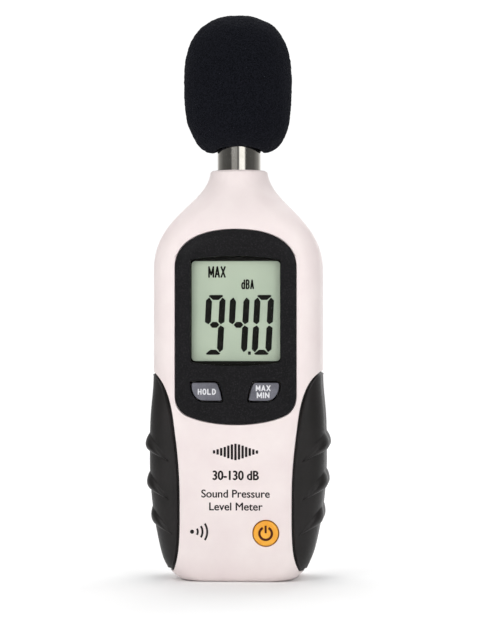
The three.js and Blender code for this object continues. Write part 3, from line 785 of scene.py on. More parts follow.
bezel_low, bezel_high = span("display_bezel")
BEZEL_FRONT = bezel_low[1]
window_low, window_high = span("display_window")
lcd_low, lcd_high = span("lcd_panel")
VIEW_WIDTH = 13.15
VIEW_LOW, VIEW_HIGH = window_low[2] + 2.0, window_high[2] - 2.0


def bezel_outline():
    w, low, high = bezel_high[0], bezel_low[2], bezel_high[2]
    right = trace(
        (0, low),
        ((5.5, low), (10.5, low + 0.9), (14.3, low + 2.5)),
        ((16.6, low + 3.5), (w, low + 5.6), (w, low + 8.6)),
        ((w, 93.5),),
        ((w, high - 4.2), (11.5, high), (0, high)),
        count=24,
    )
    left = right[::-1][1:-1] * [-1, 1]
    return resample(np.concatenate([right, left]), 0.6)


def display_opening():
    """Upright sides, and a top and bottom that bow out a little."""
    w, low, high, bow = VIEW_WIDTH + 0.25, VIEW_LOW - 0.3, VIEW_HIGH + 0.35, 1.55
    loop = trace(
        (-w, low),
        ((-w * 0.5, low - bow), (w * 0.5, low - bow), (w, low)),
        ((w, high),),
        ((w * 0.5, high + bow), (-w * 0.5, high + bow), (-w, high)),
        count=24,
    )
    return soften(loop, 0.3, 6)


def key_outline(grow=0.0):
    """The right-hand key: leaning inner side, large outer lower corner."""
    inner, outer = 3.95 - grow, 12.95 + grow
    key_low, key_high = 54.0, 59.3
    low, high = key_low - grow, key_high + grow
    loop = trace(
        (inner, low),
        ((9.4, low),),
        ((11.7, low), (outer, key_low + 2.3), (outer, key_high - 0.9)),
        ((outer, high),),
        ((5.6 - grow, high),),
        ((4.9 - grow, 58.2), (4.5 - grow, 56.8), (inner, low)),
        count=14,
    )
    return soften(loop, 0.12, 26)


def make_display():
    key_hole = key_outline(0.5)
    bezel = plate("bezel_frame", bezel_outline(), BEZEL_FRONT, bezel_high[1], 0.45,
                  holes=[display_opening(), key_hole, mirror(key_hole)], hole_radius=0.22,
                  crown=0.85, crown_width=3.6)
    dress(bezel, "charcoal", BODY, ["display_bezel"])

    pane = rounded_rectangle(window_low[0], window_high[0], window_low[2], window_high[2], 1.5)
    lens = plate("clear_display_window", pane, window_low[1], window_high[1], 0.15)
    dress(lens, "window", BODY, ["display_window"])

    view = rounded_rectangle(-VIEW_WIDTH, VIEW_WIDTH, VIEW_LOW, VIEW_HIGH, 1.1)
    # A black border printed on the back of the window, made ink black so that it also stands in for the shade
    # in the opening's recess around the display: partly print, partly painted shade.
    mask = plate("window_border_and_painted_recess_shade", pane, window_high[1] + 0.02, window_high[1] + 0.10, 0.02, holes=[view],
                 back_radius=0.02)
    dress(mask, "ink_black")

    panel = plate("lcd_cell", rounded_rectangle(lcd_low[0], lcd_high[0], lcd_low[2], lcd_high[2], 0.4),
                  lcd_low[1], lcd_high[1], 0.1)
    dress(panel, "lcd", BODY, ["lcd_panel"])


# ---- liquid crystal digits ----------------------------------------------------------------------

DIGIT_LOW, DIGIT_HIGH = VIEW_LOW + 1.85, VIEW_LOW + 19.6
DIGIT_WIDTH = 5.85
STROKE = 1.83
LEAN = math.tan(math.radians(3.0))


def lozenge(points):
    return soften(np.array(points, float), 0.09, 3)


def segment_shapes():
    """The seven segments of one digit, with its lower left corner at the origin."""
    w, h, s = DIGIT_WIDTH, DIGIT_HIGH - DIGIT_LOW, STROKE
    mid = h / 2
    side = [(0, h - 1.6), (0.98, h - 0.72), (s, h - 1.95), (s, mid + 0.95), (1.1, mid + 0.14),
            (0, mid + 0.85)]
    top = [(0.72, h - 0.3), (1.15, h), (w - 1.15, h), (w - 0.72, h - 0.3), (w - 2.1, h - 1.5), (2.1, h - 1.5)]
    bar = [(1.45, mid), (2.25, mid + 0.88), (w - 2.25, mid + 0.88), (w - 1.45, mid), (w - 2.25, mid - 0.88),
           (2.25, mid - 0.88)]

    def turned(points, across, over):
        return [(w - x if across else x, h - z if over else z) for x, z in points]

    shapes = {
        "top": top, "bottom": turned(top, False, True), "middle": bar,
        "upper_left": side, "upper_right": turned(side, True, False),
        "lower_left": turned(side, False, True), "lower_right": turned(side, True, True),
    }
    return {name: lozenge(points) for name, points in shapes.items()}


DIGITS = {
    "9": ["top", "upper_left", "upper_right", "middle", "lower_right", "bottom"],
    "4": ["upper_left", "upper_right", "middle", "lower_right"],
    "0": ["top", "upper_left", "upper_right", "lower_left", "lower_right", "bottom"],
}

# Strokes of plain block capitals in a unit box.
LETTERS = {
    "M": [[(0, 0), (0, 1)], [(0, 0.97), (0.5, 0.22), (1, 0.97)], [(1, 1), (1, 0)]],
    "A": [[(0, 0), (0.5, 1), (1, 0)], [(0.2, 0.28), (0.8, 0.28)]],
    "X": [[(0, 0), (1, 1)], [(0, 1), (1, 0)]],
    "N": [[(0, 0), (0, 1)], [(0, 1), (1, 0)], [(1, 0), (1, 1)]],
    "I": [[(0.5, 0), (0.5, 1)]],
    "H": [[(0, 0), (0, 1)], [(1, 0), (1, 1)], [(0, 0.5), (1, 0.5)]],
    "O": [[(0, 0.25), (0, 0.75), (0.3, 1), (0.7, 1), (1, 0.75), (1, 0.25), (0.7, 0), (0.3, 0), (0, 0.25)]],
    "L": [[(0, 1), (0, 0), (0.9, 0)]],
    "D": [[(0, 0), (0, 1), (0.55, 1), (1, 0.72), (1, 0.28), (0.55, 0), (0, 0)]],
    "B": [[(0, 0), (0, 1), (0.65, 1), (1, 0.87), (1, 0.66), (0.65, 0.53), (0, 0.53)],
          [(0.65, 0.53), (1, 0.38), (1, 0.14), (0.65, 0), (0, 0)]],
    "d": [[(1, 0), (1, 1)],
          [(1, 0.56), (0.65, 0.66), (0.3, 0.66), (0, 0.46), (0, 0.2), (0.3, 0), (0.65, 0), (1, 0.1)]],
}


def stroked_letters(text, x_low, x_high, z_low, z_high, weight, gap):
    """Outlines of a word drawn with one stroke weight between the given limits."""
    widths = [0.001 if letter == "I" else 1.18 if letter == "M" else 1.0 for letter in text]
    unit = (x_high - x_low - gap * (len(text) - 1) - weight * len(text)) / sum(widths)
    loops, x = [], x_low + weight / 2
    for letter, share in zip(text, widths):
        for line in LETTERS[letter]:
            points = [np.array((x + u * unit * share, z_low + weight / 2 + v * (z_high - z_low - weight)))
                      for u, v in line]
            for a, b in zip(points, points[1:]):
                ahead = (b - a) / np.linalg.norm(b - a)
                side = np.array([-ahead[1], ahead[0]]) * weight / 2
                loops.append(np.array([a - side, b - side, b + side, a + side]))
            loops += [circle(point[0], point[1], weight / 2, 12) for point in points]
        x += share * unit + weight + gap
    return loops


def make_reading():
    face = lcd_low[1] - 0.02
    shapes = segment_shapes()
    loops = []
    for digit, x in (("9", -9.75), ("4", -2.6), ("0", 4.65)):
        for name in DIGITS[digit]:
            loop = shapes[name].copy()
            loop[:, 0] += x + loop[:, 1] * LEAN
            loop[:, 1] += DIGIT_LOW
            loops.append(loop)
    loops.append(rounded_rectangle(3.6, 4.45, DIGIT_LOW, DIGIT_LOW + 1.0, 0.2, 3))
    loops += stroked_letters("MAX", -8.25, -3.0, VIEW_LOW + 24.7, VIEW_LOW + 28.15, 0.5, 0.14)
    loops += stroked_letters("dBA", 1.6, 5.4, VIEW_LOW + 21.3, VIEW_LOW + 24.2, 0.45, 0.18)
    dress(print_shapes("lcd_reading", loops, face), "ink_black")


# ---- keys ---------------------------------------------------------------------------------------

POWER_FLANGE = 1.0


def make_keys():
    front, back = span("hold_button")[0][1], span("hold_button")[1][1]
    right = key_outline()
    for name, loop in (("max_min", right), ("hold", mirror(right))):
        cap = crowned(f"{name}_key_cap", loop, front, back, 0.35, 0.18)
        dress(cap, "key", f"{name}_key_body", [f"{name}_button"])
    face = front + 0.01
    words = [("hold_word", "HOLD", -11.1, -5.7, 55.75, "hold"),
             ("max_word", "MAX", 6.1, 10.5, 56.85, "max_min"),
             ("min_word", "MIN", 6.4, 10.2, 54.75, "max_min")]
    for name, text, x_low, x_high, z_low, key in words:
        loops = stroked_letters(text, x_low, x_high, z_low, z_low + 1.8, 0.37, 0.24)
        dress(print_shapes(name, loops, face, 0.06), "ink_white", f"{key}_key_body")

    low, high = span("power_button")
    x, z = centre_of("power_button")
    flange = radius_of("power_button")
    radius = flange - POWER_FLANGE
    profile = [(0.001, low[1]), (1.3, low[1] + 0.02), (2.4, low[1] + 0.07), (3.1, low[1] + 0.14),
               (radius - 0.35, low[1] + 0.24), (radius - 0.12, low[1] + 0.36), (radius, low[1] + 0.62),
               (radius, high[1] - 0.6), (flange, high[1] - 0.6), (flange, high[1]), (0.001, high[1])]
    cap = shade(turned_on_y("power_key_cap", profile, x, z), 40)
    dress(cap, "orange", "power_key_body", ["power_button"])

    ring = []
    gap = math.radians(27)
    sweep = np.linspace(math.pi / 2 + gap, 2.5 * math.pi - gap, 40)
    for r, angles in ((2.2, sweep), (1.5, sweep[::-1])):
        ring += [(x + r * math.cos(a), z + r * math.sin(a)) for a in angles]
    bar = rounded_rectangle(x - 0.31, x + 0.31, z + 0.1, z + 2.35, 0.12, 3)
    symbol = print_shapes("power_symbol", [np.array(ring), bar], low[1] + 0.02, 0.09)
    dress(symbol, "ink_brown", "power_key_body")


# ---- case halves --------------------------------------------------------------------------------

def grip_seats(rear):
    return [grip_shell("seat", side, rear, GRIP_SINK, outside=3.0, margin=0.12, samples=40, levels=90)
            for side in (1, -1)]


def case_half(name, rear):
    solid = case_solid(name, 0.0, FOOT + STRAIGHT + SHOULDER, lip=1.0)
    hollow = case_solid("hollow", WALL, [2.4, 3.6, 5, 8.5, 14, 23, 93, 96, 99, 102, 105, 108, 111, 113.2])
    side = (PARTING, 60) if rear else (-60, -PARTING)
    carve(solid, block("half", -60, 60, *side, -20, 160), "INTERSECT")
    carve(solid, hollow)
    return carve(solid, ringed("bore", [level(circle(0, 0, BARREL_BORE, 72), z) for z in (100.0, 140.0)]))


def make_front_case():
    case = case_half("front_case_shell", rear=False)
    outline = counter_clockwise(bezel_outline())
    carve(case, prism("seat", offset(outline, -0.18), AHEAD, bezel_high[1] + 0.1))
    carve(case, prism("opening", offset(outline, 2.2), AHEAD, -8))
    x, z = centre_of("power_button")
    radius = radius_of("power_button") - POWER_FLANGE
    carve(case, prism("key_hole", circle(x, z, radius + KEY_GAP), AHEAD, -8))
    return round_rims(case, 0.16)


def make_rear_case():
    """The rims are rounded before the wells and towers come, which stay crisp."""
    case = round_rims(case_half("rear_case_shell", rear=True), 0.16)
    well = BAY_HALF_WIDTH + WELL_WALL
    carve(case, block("well", -well, well, BAY_FLOOR - WELL_WALL, CASE_BACK - 1, BAY_LOW - WELL_WALL,
                      BAY_HIGH + WELL_WALL), "UNION")
    x, z = centre_of("tripod_insert")
    carve(case, prism("tower", circle(x, z, 7), 5, CASE_BACK - 1), "UNION")
    cover_low, cover_high = span("battery_cover")
    seat = rounded_rectangle(cover_low[0] - COVER_GAP, cover_high[0] + COVER_GAP,
                             cover_low[2] - COVER_GAP, cover_high[2] + COVER_GAP, 2.4)
    screw_x, screw_z = centre_of("battery_cover_screw")
    carve(case, prism("screw_tower", circle(screw_x, screw_z, 3, 32), 5, CASE_BACK - 1), "UNION")
    carve(case, block("battery_bay", -BAY_HALF_WIDTH, BAY_HALF_WIDTH, BAY_FLOOR, 30, BAY_LOW, BAY_HIGH))
    carve(case, ringed("cover_seat", [upright(offset(seat, inset), y) for y, inset in (
        (cover_low[1] - 0.15, 0), (CASE_BACK - 0.2, 0), (CASE_BACK + 0.05, -0.25), (BEHIND, -0.25))]))
    carve(case, prism("screw_hole", circle(screw_x, screw_z, 1.4, 24), 7, BEHIND))
    carve(case, prism("insert_seat", circle(x, z, 4.75), 6.5, BEHIND))
    return case


def make_case():
    for case, node, rear in ((make_front_case(), "front_case", False), (make_rear_case(), "rear_case", True)):
        for seat in grip_seats(rear):
            carve(case, seat)
        if rear:
            for i in range(1, 5):
                x, z = centre_of(f"case_screw_{i}")
                carve(case, prism("recess", circle(x, z, 2.75, 36), 6.0, BEHIND))
        shade(case, 60)
        even_shading(case)
        dress(case, "ivory", BODY, [node])


make_case()
make_grips()
make_display()
make_reading()
make_keys()


# ---- microphone ---------------------------------------------------------------------------------

def make_microphone():
    low, high = span("microphone_barrel")
    top = high[2]
    outer, inner = 6.55, 5.9
    flange_low, flange_high, flange = 110.6, 112.6, 8.0
    profile = [
        (inner, low[2]), (outer - 0.1, low[2]), (outer, low[2] + 0.1), (outer, flange_low),
        (flange - 0.1, flange_low), (flange, flange_low + 0.1), (flange, flange_high - 0.1),
        (flange - 0.1, flange_high), (outer, flange_high), (outer, 121.0), (outer, 127.0), (outer, top - 0.5),
        (outer, top - 0.25), (outer - 0.08, top - 0.07),
        (outer - 0.25, top), (inner + 0.1, top), (inner, top - 0.1), (inner, low[2] + 0.1), (inner, low[2]),
    ]
    barrel = shade(lathe("polished_microphone_barrel", profile, 128), 30)
    dress(barrel, "nickel", BODY, ["microphone_barrel"])

    grid_low, grid_high = span("microphone_grid")
    r = grid_high[0]
    z0, z1 = grid_low[2], grid_high[2]
    cap = lathe("slotted_microphone_grid",
                [(0.001, z1), (r - 0.6, z1), (r - 0.25, z1 - 0.08), (r - 0.06, z1 - 0.3), (r, z1 - 0.6),
                 (r, z0), (r - 0.6, z0), (r - 0.6, z1 - 0.9), (0.001, z1 - 0.9)], 96)
    tidy_planes(cap)
    cutters = []
    for count, radius, length in ((4, 1.5, 0.9), (8, 3.5, 1.3)):
        for k in range(count):
            angle = 2 * math.pi * (k + 0.5) / count
            loop = rounded_rectangle(-0.32, 0.32, -length / 2, length / 2, 0.3, 5)
            outward = np.array([math.cos(angle), math.sin(angle)])
            sideways = np.array([math.sin(angle), -math.cos(angle)])
            slot = (radius + loop[:, 1:]) * outward + loop[:, :1] * sideways
            cutters.append(ringed(f"slot_{count}_{k}", [level(slot, z) for z in (z0 - 1, z1 + 1)]))
    carve(cap, joined("slots", cutters))
    round_rims(cap, 0.06, 1, 50)
    dress(shade(cap, 35), "nickel", BODY, ["microphone_grid"])

    cap_low, cap_high = span("microphone_capsule")
    radius = cap_high[0]
    capsule = lathe("turned_microphone_capsule",
                    [(0.001, cap_high[2] - 0.2), (1.0, cap_high[2] - 0.2), (1.2, cap_high[2]),
                     (radius - 0.3, cap_high[2]), (radius, cap_high[2] - 0.3), (radius, cap_low[2] + 1.2),
                     (radius - 0.15, cap_low[2] + 1.0), (radius, cap_low[2] + 0.8), (radius, cap_low[2]),
                     (0.001, cap_low[2])], 72)
    dress(shade(capsule, 35), "steel", BODY, ["microphone_capsule"])


# ---- foam windscreen ----------------------------------------------------------------------------

def make_windscreen():
    """An egg of open-cell foam: a pinched waist under it, a slightly uneven body, a bore to the barrel."""
    low, high = span("windscreen")
    bore, bore_top = BARREL_BORE, 141.6
    widest = high[0]
    outline = trace(
        (bore + 0.2, low[2] + 0.3),
        ((bore + 0.1, low[2] - 0.5), (7.3, low[2] - 0.9), (8.2, low[2] - 0.85)),
        ((9.8, low[2] - 0.7), (11.3, low[2] + 0.3), (12.45, low[2] + 1.7)),
        ((13.7, low[2] + 3.2), (14.7, low[2] + 5.9), (15.3, low[2] + 8.7)),
        ((15.9, low[2] + 11.9), (widest + 0.3, low[2] + 15.5), (widest + 0.3, low[2] + 20.0)),
        ((widest + 0.3, 160.6), (12.6, high[2] + 0.2), (0.02, high[2] + 0.2)),
        count=60,
    )
    steps = np.linalg.norm(np.diff(outline, axis=0), axis=1)
    walked = np.concatenate([[0], np.cumsum(steps)])
    at = np.linspace(0, walked[-1], 190)
    outside = np.column_stack([np.interp(at, walked, outline[:, k]) for k in range(2)])
    inside = np.array([(0.02, bore_top), (2.5, bore_top), (5.0, bore_top), (bore - 0.3, bore_top),
                       (bore, bore_top - 0.4)]
                      + [(bore, z) for z in np.linspace(bore_top - 1.2, low[2] + 0.8, 14)])
    obj = lathe("foam_windscreen_egg", np.concatenate([inside, outside]), 300)
    for vertex in obj.data.vertices:
        point = np.array(vertex.co) / MM
        radius = math.hypot(point[0], point[1])
        if radius < bore + 0.05 and low[2] + 3 < point[2] < bore_top + 0.05:
            continue
        from_bore = float(smoothstep(radius, bore, bore + 2.0)) if point[2] < bore_top else 1.0
        up = (point[2] - low[2]) / (high[2] - low[2])
        side = point[0] / widest
        lopsided = -0.3 * side * math.sin(up * 3.0)
        lumps = 0.35 * noise.noise(Vector(point * 0.09)) + 0.18 * noise.noise(Vector(point * 0.25 + 7.0))
        skin = 0.13 * noise.noise(Vector(point * 1.1)) + 0.10 * noise.noise(Vector(point * 2.3 + 3.0))
        outward = np.array([point[0], point[1], (point[2] - 148) * 0.8])
        outward /= np.linalg.norm(outward) + 1e-9
        moved = point + outward * (lumps + skin + lopsided) * from_bore
        facing = (abs(point[1]) / max(radius, 1.0)) ** 1.3
        moved[2] += 1.8 * facing * (1 - float(smoothstep(point[2], low[2], low[2] + 9)))
        vertex.co = Vector(moved * MM)
    shade(obj, 180)
    dress(obj, "foam", "windscreen_body", ["windscreen"])


# ---- back ---------------------------------------------------------------------------------------

def make_cover():
    low, high = span("battery_cover")
    outline = rounded_rectangle(low[0], high[0], low[2], high[2], 2.2, 10)
    screw_x, screw_z = centre_of("battery_cover_screw")
    cover = plate("battery_cover_plate", resample(outline, 0.8), 0.0, high[1] - low[1], 0.3)
    face_back(cover, high[1])
    tidy_planes(cover)
    carve(cover, prism("recess", circle(screw_x, screw_z, 2.6, 40), high[1] - 1.0, BEHIND))
    carve(cover, prism("clearance", circle(screw_x, screw_z, 1.3, 24), 0, BEHIND))
    label_low, label_high = span("rating_label")
    seat = rounded_rectangle(label_low[0] - 0.25, label_high[0] + 0.25, label_low[2] - 0.25,
                             label_high[2] + 0.25, 1.0)
    carve(cover, prism("label_seat", seat, label_low[1] - 0.12, BEHIND))
    grooves = []
    for k in range(5):
        z = 58.0 + 1.6 * k
        half = 7.5 - 0.9 * abs(k - 2)
        groove = rounded_rectangle(-half, half, z - 0.3, z + 0.3, 0.29, 4)
        grooves.append(prism(f"groove_{k}", groove, high[1] - 0.4, BEHIND))
    carve(cover, joined("grooves", grooves))
    round_rims(cover, 0.12)
    dress(shade(cover, 35), "ivory", "battery_cover_body", ["battery_cover"])

    sheet = rounded_rectangle(label_low[0], label_high[0], label_low[2], label_high[2], 0.8)
    label = plate("blank_label", sheet, 0.0, label_high[1] - label_low[1], 0.06, back_radius=0.03)
    face_back(label, label_high[1])
    dress(label, "label", "battery_cover_body", ["rating_label"])
    x0, x1, z0, z1 = label_low[0] + 1.2, label_high[0] - 1.2, label_low[2] + 1.2, label_high[2] - 1.2
    stroke, face = 0.18, label_high[1]
    lines = [block("line", *limits, face - 0.01, face + 0.02, *heights) for limits, heights in (
        ((x0, x1), (z0, z0 + stroke)), ((x0, x1), (z1 - stroke, z1)),
        ((x0, x0 + stroke), (z0, z1)), ((x1 - stroke, x1), (z0, z1)))]
    dress(joined("label_border", lines), "ink_text", "battery_cover_body")


def screw(node, body=BODY):
    """A pan-head cross-recess screw that looks to +Y, with its threaded shank."""
    low, high = span(node)
    x, z = centre_of(node)
    head = radius_of(node)
    length = high[1] - low[1]
    head_depth = min(2.2, length * 0.4)
    core = min(1.15, head * 0.5)

    def y(depth):
        return high[1] - depth

    profile = [(0.001, y(0)), (head * 0.45, y(0.05)), (head * 0.75, y(0.25)), (head * 0.94, y(0.6)),
               (head, y(1.0)), (head, y(head_depth - 0.1)), (head - 0.1, y(head_depth)),
               (core, y(head_depth))]
    turns = int((length - head_depth - 0.6) / 0.5)
    for k in range(turns):
        at = head_depth + 0.2 + 0.5 * k
        profile += [(core - 0.22, y(at)), (core, y(at + 0.25))]
    profile += [(core - 0.22, y(length - 0.3)), (0.25, y(length)), (0.001, y(length))]
    obj = turned_on_y(f"{node}_threaded", profile, x, z, 40)
    arm, half = head * 0.55, 0.22 * head / 1.6
    arms = [block("arm", x - across, x + across, y(1.0), y(-1), z - up, z + up)
            for across, up in ((arm, half), (half, arm))]
    carve(obj, carve(*arms, "UNION"))
    dress(shade(obj, 35), "steel", body, [node])


def make_fixings():
    for kind in ("case_screw", "board_screw"):
        for i in range(1, 5):
            screw(f"{kind}_{i}")
    screw("battery_cover_screw", "battery_cover_body")

    low, high = span("tripod_insert")
    r, bore = radius_of("tripod_insert"), 3.1
    profile = [(bore + 0.45, high[1]), (r - 0.2, high[1]), (r, high[1] - 0.2)]
    profile += [(r, low[1] + 0.2), (r - 0.2, low[1]), (bore, low[1])]
    at = low[1] + 0.3
    while at < high[1] - 1.2:
        profile += [(bore + 0.35, at + 0.3), (bore, at + 0.64)]
        at += 0.8
    profile += [(bore, high[1] - 0.45), (bore + 0.45, high[1])]
    insert = turned_on_y("threaded_tripod_insert", profile, *centre_of("tripod_insert"), 96)
    dress(shade(insert, 30), "brass", BODY, ["tripod_insert"])


# ---- print on the front -------------------------------------------------------------------------

def make_print():
    """Plain level bars, the range, two descriptive lines and a small sound pictogram."""
    face = -CASE_FRONT - 0.005
    bars = []
    heights = [1.0, 1.6, 2.3, 3.0, 3.8, 4.5, 4.9, 4.5, 3.8, 3.0, 2.3, 1.6, 1.0]
    for k, height in enumerate(heights):
        x = (k - (len(heights) - 1) / 2) * 1.06
        bars.append(rounded_rectangle(x - 0.36, x + 0.36, 38.8 - height / 2, 38.8 + height / 2, 0.15, 3))
    dress(print_shapes("level_bars", bars, face), "ink_text")
    words = [("range_words", "30-130 dB", 3.85, 31.7, 0.86, 0.13),
             ("type_words", "Sound Pressure", 3.3, 26.3, 0.98, 0.065),
             ("type_words_2", "Level Meter", 3.3, 22.5, 1.0, 0.065)]
    for name, text, size, z, squeeze, weight in words:
        copies = []
        for i, (right, up) in enumerate(((0, 0), (-1, 0), (1, 0), (0, 0.7), (0, -0.7))):
            copies.append(lettering(f"{name}_{i}", text, size, right * weight, z + up * weight,
                                    face - 0.003 * i, squeeze))
        dress(shade(joined(name, copies)), "ink_text")
    x, z = -12.9, 15.1
    sweep = np.radians(np.linspace(-33, 33, 20))
    waves = [circle(x, z, 0.62, 20)]
    for radius in (1.7, 3.1, 4.5):
        waves.append(np.array([(x + r * math.cos(a), z + r * math.sin(a)) for r, angles in (
            (radius + 0.3, sweep), (radius - 0.3, sweep[::-1])) for a in angles]))
    dress(print_shapes("sound_waves", waves, face), "ink_text")


# ---- inside -------------------------------------------------------------------------------------

def make_battery():
    """A crimped metal can in a plastic sleeve with a paler band."""
    low, high = span("battery")
    outline = rounded_rectangle(low[0], high[0], low[1], high[1], 2.6)
    bottom, top = low[2], high[2]

    def stack(name, levels):
        return shade(ringed(name, [level(offset(outline, inset), z) for z, inset in levels]), 40)

    can = stack("battery_can", [
        (bottom, 1.0), (bottom, 0.5), (bottom + 0.2, 0.25), (bottom + 0.9, 0.25), (bottom + 1.1, 0.55),
        (top - 1.1, 0.55), (top - 0.9, 0.25), (top - 0.2, 0.25), (top, 0.5), (top, 1.0)])
    dress(can, "steel")
    sleeve = stack("battery_sleeve", [
        (bottom + 1.2, 0.6), (bottom + 1.25, 0.15), (bottom + 1.5, 0.05),
        (top - 1.5, 0.05), (top - 1.25, 0.15), (top - 1.2, 0.6)])
    dress(sleeve, "jacket", BODY, ["battery"])
    band = stack("battery_band", [(top - 15, 0.2), (top - 15, 0.02), (top - 3, 0.02), (top - 3, 0.2)])
    dress(band, "label")


def make_domes():
    """A silicone dome behind each key."""
    for key, keep in (("hold", 0.5), ("max_min", 0.5), ("power", 0.44)):
        low, high = span(f"{key}_dome")
        x, z = centre_of(f"{key}_dome")
        radius = radius_of(f"{key}_dome")
        front, back = low[1], high[1]
        profile = [(0.001, front), (radius * 0.45, front), (radius * 0.55, front + 0.1),
                   (radius * 0.8, (front + back) / 2), (radius * 0.96, back - 0.2), (radius, back - 0.15),
                   (radius, back), (0.001, back)]
        dome = shade(turned_on_y(f"{key}_dome_skirt", profile, x, z, 40), 40)
        dress(dome, "silicone", BODY, [f"{key}_dome"])
        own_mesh(dome)


def finish_inside():
    """Materials for the hidden pieces that stay as the CAD has them."""
    plain = {"black": ["snap_connector", "processor_chip", "amplifier_chip"],
             "white": ["lcd_holder", "capsule_sleeve"],
             "pink": ["lower_contact_strip", "upper_contact_strip"],
             "silicone": ["key_mat", "power_key_mat"], "board": ["main_board"], "steel": ["crystal"],
             "blue_sleeve": ["filter_capacitor", "output_capacitor"], "trimmer_blue": ["calibration_trimmer"],
             "wire_red": ["red_lead"], "wire_black": ["black_lead", "ground_wire"],
             "wire_white": ["signal_wire"], "nickel": ["positive_terminal", "negative_terminal"],
             "foam": ["battery_pad"]}
    for finish, nodes in plain.items():
        for node in nodes:
            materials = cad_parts[node].data.materials
            materials.clear()
            materials.append(FINISH[finish])


make_microphone()
make_windscreen()
make_cover()
make_fixings()
make_print()
make_battery()
make_domes()
finish_inside()


# ---- set: floor, light and camera ---------------------------------------------------------------

def make_floor():
    """A wide level disc of pale paper."""
    radii, sides = (300, 700, 1000), 48
    rings = [level(circle(0, 0, radius, sides), 0) for radius in radii]
    vertices = np.concatenate([np.zeros((1, 3))] + rings)
    faces = []
    for k in range(sides):
        m = (k + 1) % sides
        faces.append((0, 1 + k, 1 + m))
        for ring in range(len(radii) - 1):
            a = 1 + ring * sides
            faces.append((a + k, a + sides + k, a + sides + m, a + m))
    floor = mesh_object("floor_paper", vertices, faces)
    floor.data.materials.append(FINISH["paper"])


def area_light(name, place, target, size, watts):
    data = bpy.data.lights.new(name, "AREA")
    data.energy = watts
    data.size = size
    obj = add_object(name, data)
    obj.location = Vector(place)
    obj.rotation_euler = (Vector(target) - Vector(place)).to_track_quat("-Z", "Y").to_euler()


def make_camera():
    """Level, a little right of the front, and far enough away for the picture to be nearly flat."""
    data = bpy.data.cameras.new("front_camera")
    data.sensor_width = 36
    data.sensor_fit = "HORIZONTAL"
    distance = 0.7
    azimuth = math.radians(4.0)
    frame_height = 0.1907
    frame_width = frame_height * 500 / 631
    data.lens = data.sensor_width * distance / frame_width
    data.clip_start = 0.01
    aim = Vector((0.0033, 0.0, 0.0792))
    away = Vector((math.sin(azimuth), -math.cos(azimuth), 0.0))
    obj = add_object("front_camera", data)
    obj.location = aim + away * distance
    obj.rotation_euler = (-away).to_track_quat("-Z", "Y").to_euler()
    bpy.context.scene.camera = obj


def both_sides(half):
    return [(-angle, brightness) for angle, brightness in half[::-1]] + half


# The studio around the object, as brightness against the compass angle in degrees from the front.
# It is white behind, pale at the sides and dark on the camera's side.
FRONT_DARK = both_sides([(20, 0.03), (50, 0.08), (90, 0.15), (130, 0.35), (165, 1.05), (180, 1.05)])
SURROUND = both_sides([(30, 0.08), (70, 0.1), (90, 0.12), (125, 0.32), (160, 1.05), (180, 1.05)])
STUDIO_PEAK = 1.5
STUDIO_DOME = 0.47
BACKDROP = 0.7
STRIP_ANGLE = 20
STRIP_HALF = 12
STRIP_EDGE = 7
STRIP_SURROUND = 0.08


def strip(middle, brightness):
    """A soft strip light in the dark."""
    reach = STRIP_HALF + STRIP_EDGE
    return [(middle - reach, STRIP_SURROUND), (middle - STRIP_HALF, brightness),
            (middle + STRIP_HALF, brightness), (middle + reach, STRIP_SURROUND)]


def strip_belt():
    """The surround with two equal strips in it: a weak one on the left, a strong one on the right."""
    clear = STRIP_ANGLE + STRIP_HALF + STRIP_EDGE
    return ([stop for stop in SURROUND if stop[0] < -clear] + strip(-STRIP_ANGLE, 0.4)
            + strip(STRIP_ANGLE, STUDIO_PEAK) + [stop for stop in SURROUND if stop[0] > clear])


def grey(value):
    return (value, value, value, 1.0)


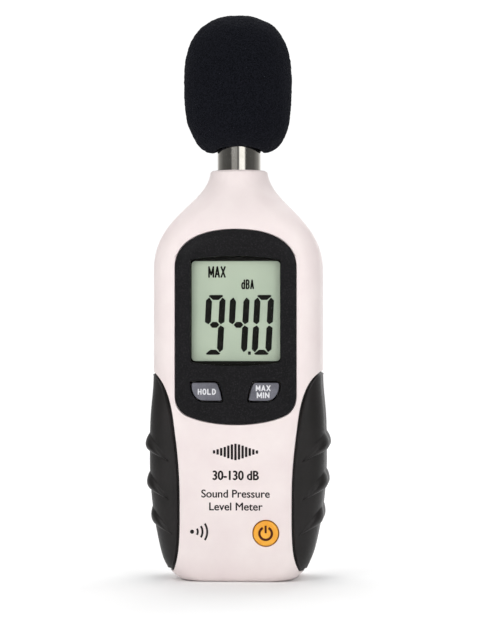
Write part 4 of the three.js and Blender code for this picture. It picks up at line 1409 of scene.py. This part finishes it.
def make_world():
    """Zones of the studio over each other, from the floor up to an even dome. Seen directly by the
    camera, all of it is a plain white backdrop."""
    world = bpy.data.worlds.new("studio")
    world.use_nodes = True
    tree = world.node_tree

    def node(kind, **settings):
        made = tree.nodes.new(kind)
        for key, value in settings.items():
            setattr(made, key, value)
        return made

    def around(stops, compass):
        ramp = node("ShaderNodeValToRGB")
        elements = ramp.color_ramp.elements
        for angle, brightness in stops:
            colour = grey(brightness / STUDIO_PEAK)
            if abs(angle) == 180:
                elements[0 if angle < 0 else -1].color = colour
            else:
                elements.new((angle + 180) / 360).color = colour
        tree.links.new(compass, ramp.inputs["Fac"])
        return ramp.outputs["Color"]

    def blended(low, high, value, start, end):
        share = node("ShaderNodeMapRange", interpolation_type="SMOOTHSTEP")
        share.inputs["From Min"].default_value = math.sin(math.radians(start))
        share.inputs["From Max"].default_value = math.sin(math.radians(end))
        tree.links.new(value, share.inputs["Value"])
        mix = node("ShaderNodeMix", data_type="RGBA")
        tree.links.new(share.outputs["Result"], mix.inputs["Factor"])
        for colour, socket in ((low, mix.inputs[MIX_A]), (high, mix.inputs[MIX_B])):
            if isinstance(colour, tuple):
                socket.default_value = colour
            else:
                tree.links.new(colour, socket)
        return mix.outputs[MIX_RESULT]

    direction = node("ShaderNodeSeparateXYZ")
    tree.links.new(node("ShaderNodeTexCoord").outputs["Generated"], direction.inputs["Vector"])
    ahead = node("ShaderNodeMath", operation="MULTIPLY")
    ahead.inputs[1].default_value = -1.0
    tree.links.new(direction.outputs["Y"], ahead.inputs[0])
    angle = node("ShaderNodeMath", operation="ARCTAN2")
    tree.links.new(direction.outputs["X"], angle.inputs[0])
    tree.links.new(ahead.outputs["Value"], angle.inputs[1])
    compass = node("ShaderNodeMapRange")
    compass.inputs["From Min"].default_value = -math.pi
    compass.inputs["From Max"].default_value = math.pi
    tree.links.new(angle.outputs["Value"], compass.inputs["Value"])
    turn = compass.outputs["Result"]

    height = direction.outputs["Z"]
    lower = blended(grey(BACKDROP), around(FRONT_DARK, turn), height, -4, -3)
    lower = blended(lower, around(strip_belt(), turn), height, 2.3, 2.9)
    lower = blended(lower, around(SURROUND, turn), height, 5.5, 7.5)
    whole = blended(lower, grey(STUDIO_DOME), height, 24, 45)
    backdrop = node("ShaderNodeMix", data_type="RGBA")
    tree.links.new(node("ShaderNodeLightPath").outputs["Is Camera Ray"], backdrop.inputs["Factor"])
    tree.links.new(whole, backdrop.inputs[MIX_A])
    backdrop.inputs[MIX_B].default_value = grey(BACKDROP)
    background = tree.nodes["Background"]
    background.inputs["Strength"].default_value = STUDIO_PEAK
    tree.links.new(backdrop.outputs[MIX_RESULT], background.inputs["Color"])
    bpy.context.scene.world = world


def make_light():
    area_light("left_softbox", (-0.46, -0.86, 0.48), (0, 0, 0.08), 0.5, 3.25)
    area_light("right_softbox", (0.54, -0.82, 0.48), (0, 0, 0.08), 0.5, 2.6)
    area_light("floor_light", (0.0, 1.0, 1.3), (0, 0.6, 0), 1.6, 16.0)
    bpy.context.scene.view_settings.view_transform = "Standard"


make_world()
make_floor()
make_light()
make_camera()
